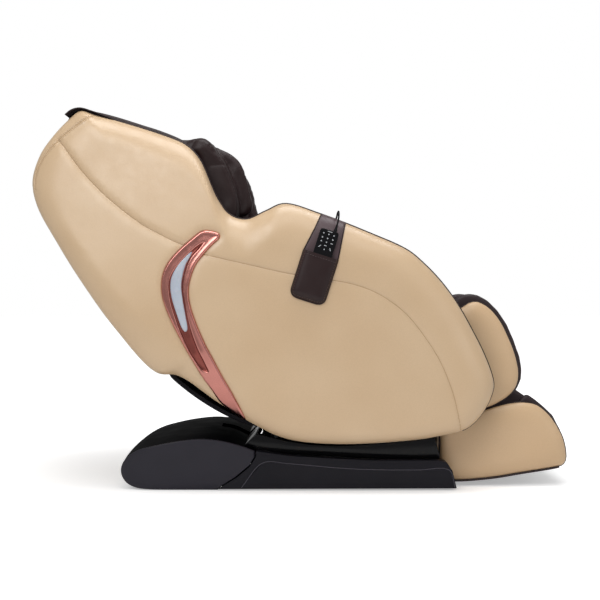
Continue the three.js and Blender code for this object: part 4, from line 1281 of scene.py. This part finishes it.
def other_side(piece, name, node):
    copy = mirror_piece(piece, name, "body")
    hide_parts(node)
    return copy


def back_places(co):
    """Backrest coordinates of points: s up the back from the hip, d out of its surface."""
    rel = co[:, [0, 2]] - HIP
    return rel @ UP_BACK, rel @ OFF_BACK


def groove(gap, width=4.5, depth=5.0):
    return depth * (0.55 * bell(gap, width) + 0.45 * bell(gap, width * 3.5))


# ---- seat, back and arm padding ---------------------------------------------------------------
def back_seams(co):
    s, d = back_places(co)
    y = np.abs(co[:, 1])
    front = smoothstep((d + 60) / 30)
    sides = groove(y - 92)
    middle = smoothstep((94 - y) / 6)
    rungs = np.zeros(len(co))
    for level in (96, 176, 256, 336, 416, 496, 576):
        rungs = np.maximum(rungs, groove(s - level - 10 * np.cos(y / 92 * 1.57)))
    flanks = np.maximum(groove(s - 250), groove(s - 460)) * smoothstep((y - 90) / 6)
    return front * np.maximum(np.maximum(sides, rungs * middle), flanks) + creases(co, 0.5, 34)


def pillow_seams(co):
    s, d = back_places(co)
    y = np.abs(co[:, 1])
    return np.maximum(groove(y - 78, 4, 4), groove(s - 690 + 6 * np.cos(y / 60), 4, 4) * (y < 80)) \
        + creases(co, 0.6, 30)


def seat_seams(co):
    x, y = co[:, 0], np.abs(co[:, 1])
    top = smoothstep((co[:, 2] - 372 - 0.156 * x) / 20)
    rungs = np.maximum(np.maximum(groove(x - 40), groove(x - 150)), groove(x - 260))
    return top * np.maximum(groove(y - 100), rungs) + creases(co, 0.5, 36)


ARM_PAD_SEAMS = [
    [(-190, 690), (-80, 726), (60, 706), (200, 650), (330, 560)],
    [(-170, 560), (-40, 580), (100, 566), (240, 530), (352, 480)],
]
# In backrest coordinates: the wing's two seams, and its rounded upper lobe.
WING_LOBE_SEAM = [(380, 192), (414, 222), (463, 236), (533, 262), (590, 256)]
WING_PULL_SEAM = [(552, 216), (530, 252)]
WING_BUMP, WING_BUMP_HEIGHT, WING_BUMP_WIDTH = (622, 240), 22, 40


def arm_seams(co):
    x, y, z = co[:, 0], np.abs(co[:, 1]), co[:, 2]
    inner = smoothstep((236 - y) / 10)
    line = np.column_stack([x, z])
    grooves = [groove(distance(line, smooth(seam, 12))[0]) for seam in ARM_PAD_SEAMS]
    return inner * (grooves[0] + grooves[1]) + creases(co, 0.6, 38)


def wing_seams(co):
    s, d = back_places(co)
    line = np.column_stack([s, d])
    lobe, _ = distance(line, smooth(WING_LOBE_SEAM, 10))
    pull, _ = distance(line, smooth(WING_PULL_SEAM, 8))
    bump = WING_BUMP_HEIGHT * bell(np.hypot(s - WING_BUMP[0], d - WING_BUMP[1]), WING_BUMP_WIDTH)
    return groove(lobe, 4, 5) + groove(pull, 3, 2) + creases(co, 1.0, 26) - bump


def head_seams(co):
    s, d = back_places(co)
    return groove(np.abs(co[:, 1]) - 120, 4, 3.5) + groove(d + 8, 4, 3) + creases(co, 0.5, 30)


def add_padding():
    cushion("back_cushion", "back_pad", 8, 7, 3.5, 9, back_seams)
    cushion("head_pillow", "head_rest", 6, 5, 3, 8, pillow_seams)
    cushion("seat_cushion", "seat_pad", 8, 6, 3.5, 8, seat_seams)
    arm = cushion("arm_pad_right", "arm_padding_right", 8, 6, 3, 7, arm_seams)
    other_side(arm, "arm_padding_left", "arm_pad_left")
    wing = cushion("shoulder_pad_right", "shoulder_wing_right", 6, 1, 3, 6, wing_seams,
                   relax=2)
    other_side(wing, "shoulder_wing_left", "shoulder_pad_left")
    cushion("head_pad", "head_panel", 6, 4, 3, 6, head_seams)
    add_head_flap()
    add_edging()
    add_lining()


# The leather flap that folds over the top edge of the backrest, as seen from the side.
FLAP_LINE = [(-545, 1070), (-575, 1082), (-606, 1093), (-640, 1102), (-666, 1096), (-684, 1082)]
FLAP_HALF_WIDTH = 284
FLAP_THICKNESS = 2.6
FLAP_COLUMNS = 72
# The padded edging inside the side panel's top edge, from the flap down to the shoulder wing.
EDGING_LINE = [(-632, 1089), (-596, 1085), (-540, 1071), (-470, 1049), (-408, 1029), (-350, 1004),
               (-318, 980)]
EDGING_R = 8.5
# The lining beside the cushions, from the front of the seat down to the hip and up to the head.
LINING_LINE = [(388, 392), (300, 368), (150, 345), (0, 330), (-90, 322), (-150, 332), (-209, 412),
               (-255, 465), (-400, 658), (-545, 850), (-636, 967), (-654, 992)]
LINING_HALF_WIDTH = 261
LINING_COLUMNS = 59
LINING_THICKNESS = 3
# The lining is only two side strips, down to this distance from the middle, except behind the
# seat's rear end and below the massage carriage's way, and above that way.
LINING_STRIP_FROM = 190
SEAT_REAR_X = -96
CARRIAGE_WAY = (105, 745)


def add_head_flap():
    line = smooth(FLAP_LINE, 6)
    away = turned_up(line)
    columns = np.linspace(-FLAP_HALF_WIDTH, FLAP_HALF_WIDTH, FLAP_COLUMNS)
    sheet_piece(swept(line, away, columns, 0), swept(line, away, columns, -FLAP_THICKNESS), [BROWN],
                "head_flap", "body", "brown_leather")


def add_edging():
    line = smooth(EDGING_LINE, 8)
    path = np.column_stack([line[:, 0], np.full(len(line), 2 - INNER_PLANE + EDGING_R), line[:, 1]])
    ends = np.minimum(np.arange(len(line)), np.arange(len(line))[::-1])
    radii = EDGING_R * np.sqrt(np.clip(ends / 2.0 + 0.2, 0, 1))
    edging = mesh_piece("edging_right", *tube(path, radii, 14), [BROWN], "body", "brown_leather")
    both_sides(edging, "edging", "body")


def add_lining():
    line = smooth(LINING_LINE, 12)
    away = turned_up(line)
    columns = np.linspace(-LINING_HALF_WIDTH, LINING_HALF_WIDTH, LINING_COLUMNS)
    slack = 1.5 * np.sin(np.arange(len(line)) * 0.7)[:, None]
    middle = (line[:-1] + line[1:]) / 2
    up_back = (middle - HIP) @ UP_BACK
    below, above = up_back < CARRIAGE_WAY[0], up_back > CARRIAGE_WAY[1]
    across = (below & (middle[:, 0] < SEAT_REAR_X)) | above
    sides = np.abs(columns[:-1] + columns[1:]) / 2 > LINING_STRIP_FROM
    sheet_piece(swept(line, away, columns, slack),
                swept(line, away, columns, slack - LINING_THICKNESS), [LINER], "cabin_lining",
                "body", "brown_leather", across[:, None] | sides[None])


# ---- calf rest and foot unit --------------------------------------------------------------------
LEG_HALF_WIDTH = 245
FOOT_HALF_WIDTH = 248
LEG_WALL_IN = 215
WRAP_COLUMNS = 47
# A point inside each unit, seen from the side.
UNIT_MIDDLE = {"leg": (540.0, 330.0), "foot": (540.0, 130.0)}
CALF_SIDE = [
    (410, 240), (480, 234), (540, 229), (587, 249), (617, 272), (633, 297), (638, 330), (634, 360),
    (624, 396), (607, 438), (586, 480), (560, 514), (535, 533), (514, 540), (493, 536), (474, 524),
    (450, 512), (426, 500), (410, 470), (408, 360),
]
FOOT_SIDE = [
    (410, 30), (424, 21), (458, 18), (561, 26), (647, 40), (740, 55), (768, 63), (776, 76),
    (776, 104), (767, 142), (745, 184), (720, 215), (690, 237), (655, 244), (612, 241), (570, 231),
    (530, 219), (470, 214), (430, 213), (412, 204), (408, 120),
]


def cheek(outline_points, half, rounding, name, body, node):
    """A crowned leather side of the calf rest or foot unit, with piping round it."""
    outline = smooth(outline_points, 5, True)

    def face(x, z):
        points = np.column_stack([x, z])
        gap, _ = distance(points, outline, True)
        t = np.clip(gap / rounding, 0, 1)
        waves = np.sin(x / 31 + 1.2 * np.sin(z / 37)) * np.sin(z / 29)
        return half - 22 + 22 * np.sqrt(1 - (1 - t) ** 2) + 0.35 * waves * smoothstep(gap / 20)

    rows = inset_rows(outline, (0.8, 2, 4, 7, 11, 16, 22, 30, 40))
    rings = [(-0.3, half - 26), (2.0, LEG_WALL_IN + 0.3)]
    side = plate(outline, rows, 11, face, rings, [BEIGE_LEG_PAINTED_SHADE], f"{name}_right", body,
                 "beige_leather")
    left = mirror_piece(side, f"{name}_left", body)
    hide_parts(node)
    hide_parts(node)
    rim = outline - inward(outline) * 0.6
    path = [(x, -(half - 25), z) for x, z in rim[::2]]
    piping = mesh_piece(f"{name}_piping_right", *tube(path, 2.6, 8, True), [BROWN], body,
                        "brown_leather")
    both_sides(piping, f"{name}_piping", body)


def add_leg_rest():
    cheek(CALF_SIDE, LEG_HALF_WIDTH, 60, "calf_side", "leg", "calf_shell")
    cheek(FOOT_SIDE, FOOT_HALF_WIDTH, 55, "foot_side", "foot", "foot_shell")
    add_wrap("calf_wrap", [(424, 470), (409, 462), (409, 244), (424, 239), (538, 229)], 12,
             LEG_WALL_IN + 1, BEIGE_LEG_PAINTED_SHADE, "beige_leather", "leg")
    add_wrap("foot_wrap", [(424, 212), (409, 200), (409, 30), (424, 23)], 11,
             LEG_WALL_IN + 1, BEIGE_LEG_PAINTED_SHADE, "beige_leather", "foot")
    add_wrap("foot_sole",
             [(411, 24), (424, 16), (458, 13), (561, 21), (647, 35), (740, 50), (757, 54)], 5,
             FOOT_HALF_WIDTH - 14, LINER, "brown_leather", "foot")
    add_liner("calf_liner", "calf_padding", calf_creases, "leg")
    add_liner("foot_liner", "foot_padding", foot_creases, "foot")


def add_wrap(name, line, thickness, half_width, material, slot, body):
    """A leather-covered back or underside between two cheeks, with two lengthwise seams."""
    outer = smooth(line, 12)
    into = normals2(outer, False)
    if ((np.array(UNIT_MIDDLE[body]) - outer.mean(0)) * into.mean(0)).sum() < 0:
        into = -into
    columns = np.linspace(-half_width, half_width, WRAP_COLUMNS)
    seams = 1.6 * bell(np.abs(columns) - 105, 5)
    sheet_piece(swept(outer, into, columns, seams), swept(outer, into, columns, thickness),
                [material], name, body, slot)


def calf_creases(co):
    x, y, z = co[:, 0], np.abs(co[:, 1]), co[:, 2]
    outer = smoothstep((x - 440) / 20)
    lines = [groove(y - place, 2.2, 3.2) for place in (*range(36, 197, 20), 206)]
    return outer * np.max(lines, axis=0) + creases(co, 0.6, 24)


def foot_creases(co):
    y = np.abs(co[:, 1])
    lines = [groove(y - place, 2.2, 3.0) for place in (12, 196, 205)]
    across = groove(co[:, 2] - 150, 2.2, 2.5)
    return np.maximum(np.max(lines, axis=0), across) + creases(co, 0.6, 24)


def add_liner(node, name, depth_at, body):
    """The calf rest's or foot unit's padding, which is shaped without simulation."""
    finished_pad(remeshed(node, name, 5, -0.6, 5), node, LINER, depth_at, body)


add_padding()
add_leg_rest()


# ---- back and curved underside -----------------------------------------------------------------
BACK_SKIN = [(-703, 1034), (-740, 981), (-765, 889), (-741, 795), (-634, 626), (-523, 472),
             (-416, 355)]
BACK_LINE = smooth(BACK_SKIN, 4)
BACK_AWAY = normals2(BACK_LINE, False)
BACK_LENGTH = float(np.linalg.norm(np.diff(BACK_LINE, axis=0), axis=1).sum())
BACK_ROWS, BACK_COLUMNS = 150, 119
BACK_HALF_WIDTH = 261.4
BACK_STAND = 7
BACK_SEAM_Y = 112
BACK_SEAMS_DOWN = (230, 500)
COVER_ENDS = (-45, -18)
COVER_SLOT = 42
COVER_BULGE = 8
COVER_ROWS, COVER_SIDE_COLUMNS = 44, 34


def back_point(along, y, lift):
    """A point on the padded rear skin, at a distance down it and across it."""
    crown = (8 * (1 - (np.abs(y) / BACK_HALF_WIDTH) ** 4) + BACK_STAND) * smoothstep(along / 60)
    crown = crown * smoothstep((BACK_LENGTH - along) / 60)
    dip = groove(np.abs(y) - BACK_SEAM_Y, 2.2, 3.4)
    for place in BACK_SEAMS_DOWN:
        dip = np.maximum(dip, groove(along - place, 2.2, 3.4))
    out = crown - dip + lift
    steps = np.linspace(0, BACK_LENGTH, len(BACK_LINE))
    x, z = (np.interp(along, steps, BACK_LINE[:, k]) for k in (0, 1))
    dx, dz = (np.interp(along, steps, BACK_AWAY[:, k]) for k in (0, 1))
    return np.stack([x + dx * out, y, z + dz * out], axis=-1)


def add_back():
    rows = np.linspace(0, BACK_LENGTH, BACK_ROWS)
    columns = np.linspace(-BACK_HALF_WIDTH, BACK_HALF_WIDTH, BACK_COLUMNS)
    along, y = np.meshgrid(rows, columns, indexing="ij")
    skin = sheet_piece(back_point(along, y, 0), back_point(along, y, -6), [BEIGE], "rear_skin",
                       "body", "beige_leather")
    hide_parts("back_shell")
    stitches = []
    for side in (-1, 1):
        for offset in (-5, 5):
            place = np.full(BACK_ROWS, side * BACK_SEAM_Y + offset, float)
            stitches.append(stitch_row(back_point(rows, place, 0.2)))
    for place in BACK_SEAMS_DOWN:
        for offset in (-5, 5):
            places = np.full(BACK_COLUMNS, place + offset, float)
            stitches.append(stitch_row(back_point(places, columns, 0.2)))
    mesh_piece("rear_stitching", *merged(stitches), [THREAD], "body", "beige_leather")


def add_underside():
    """The cloth-covered curved underside, with the slot that the tilt actuator swings through."""
    degrees = np.linspace(*COVER_ENDS, COVER_ROWS)
    side = np.linspace(COVER_SLOT, BACK_HALF_WIDTH, COVER_SIDE_COLUMNS)
    columns = np.concatenate([-side[::-1], side])
    angle, y = np.meshgrid(degrees, columns, indexing="ij")
    wide = np.abs(y)
    rim = np.clip((wide - BACK_HALF_WIDTH + 9) / 9, 0, 1)
    ends = smoothstep((angle - COVER_ENDS[0]) / 3) * smoothstep((COVER_ENDS[1] - angle) / 5)
    bulge = (COVER_BULGE * smoothstep((wide - 168) / 24) * ends
             - 4 * (1 - np.sqrt(1 - rim**2)) * ends)

    def layer(radius):
        turn = np.radians(angle)
        return np.stack([TILT_CENTRE[0] + radius * np.sin(turn), y,
                         TILT_CENTRE[1] - radius * np.cos(turn)], axis=-1)

    keep = np.ones((COVER_ROWS - 1, len(columns) - 1), bool)
    keep[degrees[:-1] > COVER_ENDS[0] + 2, COVER_SIDE_COLUMNS - 1] = False
    cover = sheet_piece(layer(COVER_R - 0.3 + bulge), layer(np.full_like(angle, COVER_R - 5.5)),
                        [CLOTH], "underside_cloth", "body", "black_satin", keep)
    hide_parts("lower_back_cover")


add_back()
add_underside()


# ---- base ---------------------------------------------------------------------------------------
REAR_PROFILE = [
    (-430, 2), (-470, 5), (-498, 15), (-514, 31), (-521, 54), (-513, 80), (-478, 110), (-416, 129),
    (-339, 143), (-282, 147), (-225, 141), (-164, 125), (-133, 113),
]
REAR_GAP_LINE = [(-133, 98), (-150, 70), (-190, 37), (-228, 13), (-240, 2)]
BASE_HALF_WIDTH = 310
STEP_LINE = [(-172, 8), (-111, 79), (-33, 77), (106, 65), (210, 60), (331, 59), (424, 58), (440, 8)]
SKIN_STATIONS = sorted({
    *np.linspace(-300, 300, 61).round(), -42, 42, -168, -138, 138, 168, -71, -49, 44, 76,
})
# How far the rear cover's skin lies inside its sides, and the half-width that its stations use.
SKIN_INSET = 3.5
STATION_HALF_WIDTH = 303.5
# Openings in the rear cover: x, z and y, each from and to. They are for the actuator, the two
# transport wheels, the mains inlet and the switch.
REAR_OPENINGS = [
    (-250, math.inf, 60, math.inf, -42, 42),
    (-math.inf, -452, -math.inf, 56, 138, 168),
    (-math.inf, -452, -math.inf, 56, -168, -138),
    (-math.inf, -490, 56, 77, 44, 76),
    (-math.inf, -490, 58, 74, -71, -49),
]


def nose_half(x):
    """Half-width of the rear cover, which draws in towards its nose."""
    return BASE_HALF_WIDTH - 30 * smoothstep((-375 - x) / 220) ** 1.3


def add_rear_cover():
    profile = smooth(REAR_PROFILE, 7)
    away = turned_up(profile, len(profile) // 2)
    across = np.array(SKIN_STATIONS) / BASE_HALF_WIDTH
    half = nose_half(profile[:, 0]) - SKIN_INSET
    y = half[:, None] * across[None] * BASE_HALF_WIDTH / STATION_HALF_WIDTH
    top = smoothstep((profile[:, 1] - 30) / 60) * smoothstep((-150 - profile[:, 0]) / 70)
    crown = 9 * top[:, None] * (1 - (np.abs(across[None]) * BASE_HALF_WIDTH / 300) ** 2.4)
    stations = (np.array(SKIN_STATIONS[:-1]) + np.array(SKIN_STATIONS[1:]))[None] / 2
    centres = (profile[:-1] + profile[1:]) / 2
    x, z = centres[:, 0, None], centres[:, 1, None]
    holes = np.zeros((len(centres), stations.size), bool)
    for x0, x1, z0, z1, y0, y1 in REAR_OPENINGS:
        holes |= (x > x0) & (x < x1) & (z > z0) & (z < z1) & (stations > y0) & (stations < y1)
    skin = sheet_piece(swept(profile, away, y, crown), swept(profile, away, y, crown - 4),
                       [TOP_BLACK], "base_rear_top", "base", "black_gloss", ~holes)
    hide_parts("base_rear_shell")
    outline = np.vstack([profile, resample(REAR_GAP_LINE, 26, False)])

    def face(px, pz):
        gap, _ = distance(np.column_stack([px, pz]), outline, True)
        rounded = 1 - np.sqrt(1 - (1 - np.clip(gap / 4, 0, 1)) ** 2)
        return nose_half(px) - SKIN_INSET * rounded

    back = nose_half(outline[:, 0]) - 5
    side = plate(outline, inset_rows(outline, (0.6, 1.6, 3, 5)), 12, face, [(0, back)], [SATIN],
                 "base_rear_side_right", "base", "black_satin")
    left = mirror_piece(side, "base_rear_side_left", "base")
    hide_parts("base_rear_shell")
    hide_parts("base_rear_shell")


def add_step_panel():
    """The slightly raised panel on each side of the front cover, fading out towards the feet."""
    outline = resample(np.vstack([STEP_LINE, STEP_LINE[:1]]), 180, False)[:-1]

    def face(px, pz):
        return BASE_HALF_WIDTH + 0.3 + 1.5 * (1 - smoothstep((px - 240) / 100))

    def band_material(i, k):
        return 1 if outline[i][0] > -112 else 0

    side = plate(outline, inset_rows(outline, (1.0, 3.0)), 18, face,
                 [(-1.4, BASE_HALF_WIDTH - 0.2)], [DARK_SATIN, SATIN], "base_step_right", "base",
                 "black_satin", band_material)
    mirror_piece(side, "base_step_left", "base")
    # A thin tube of lighter satin along the step's edge: a painted highlight where the edge catches
    # light.
    line = smooth(STEP_LINE, 6)
    bead = tube(np.column_stack([line[:, 0], -face(line[:, 0], line[:, 1]), line[:, 1]]), 1.1, 8)
    both_sides(mesh_piece("base_step_bead_right", *bead, [STEP_EDGE_HIGHLIGHT], "base", "black_satin"),
               "base_step_highlight_bead", "base")


def add_base():
    add_rear_cover()
    add_step_panel()
    moulded("base_front_shell", "base_front_cover", 3, [DARK_SATIN])
    moulded("pedestal_cover", "pedestal_top", 2.5, [GLOSS])
    moulded("power_inlet", "mains_inlet", 0.8, [SATIN])
    moulded("transport_wheels", "wheels", 1, [RUBBER])
    moulded("base_frame", "base_weldment", 1.2, [FRAME_STEEL], 2)
    moulded("control_box", "control_case", 2, [MECHANISM])


# ---- remote ------------------------------------------------------------------------------------
REMOTE_FACE = 394.0
BUTTON_FACE = 395.2
BUTTON_ROWS = (125, 113)
BUTTON_COLUMNS = (-15, 0, 15)


def face_mark(corners, face):
    """Vertices and faces of a thin printed mark, from its corners in remote coordinates."""
    flat = on_pouch(*(np.array(corners, float) + (REMOTE_MIDDLE, 0)).T)
    n = len(flat)
    vertices = [(x, -(face + out), z) for out in (0.25, -0.2) for x, z in flat]
    faces = [tuple(range(n)), tuple(reversed(range(n, 2 * n)))]
    faces += [(i, n + i, n + (i + 1) % n, (i + 1) % n) for i in range(n)]
    return vertices, faces


def polygon(b, a, sides, radius, turn=90.0):
    """Corners of a regular polygon on the remote's face."""
    angles = np.radians(turn) + np.arange(sides) * 2 * math.pi / sides
    return np.column_stack([b + radius * np.cos(angles), a + radius * np.sin(angles)])


def dash(b, a, length, width, turn=0.0):
    """Corners of a short bar on the remote's face."""
    along = np.array([math.cos(math.radians(turn)), math.sin(math.radians(turn))])
    side = np.array([-along[1], along[0]])
    signs = ((-1, -1), (1, -1), (1, 1), (-1, 1))
    return np.array([(b, a) + along * length / 2 * i + side * width / 2 * j for i, j in signs])


def printed(name, marks, face, body):
    piece = mesh_piece(name, *merged([face_mark(mark, face) for mark in marks]), [KEY_PAINT], body,
                       NODE_SLOT["remote"], True)
    face_outwards(piece)


def add_remote():
    moulded("remote", "remote_body", 0.8, [GLOSS])
    marks = [
        dash(1, 132.6, 13, 1.6),
        polygon(-15, 102, 3, 2.8), polygon(0, 102, 3, 2.8, -90), dash(15, 102, 6.5, 1.8),
        dash(-15, 87, 8, 1.9, 52), dash(0, 92, 7, 1.9), polygon(0, 81, 3, 2.4),
        dash(16, 85, 8, 1.9, -62),
    ]
    printed("remote_marks", marks, REMOTE_FACE, "body")
    spots = [(b, a) for a in BUTTON_ROWS for b in BUTTON_COLUMNS]
    for number, (b, a) in enumerate(spots, 1):
        key = moulded(f"remote_button_{number}", f"remote_key_{number}", 0.5, [RUBBER], 2)
        printed(f"remote_key_{number}_dot", [polygon(b, a, 10, 1.9)], BUTTON_FACE, key["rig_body"])


add_base()
add_remote()

bpy.context.view_layer.update()
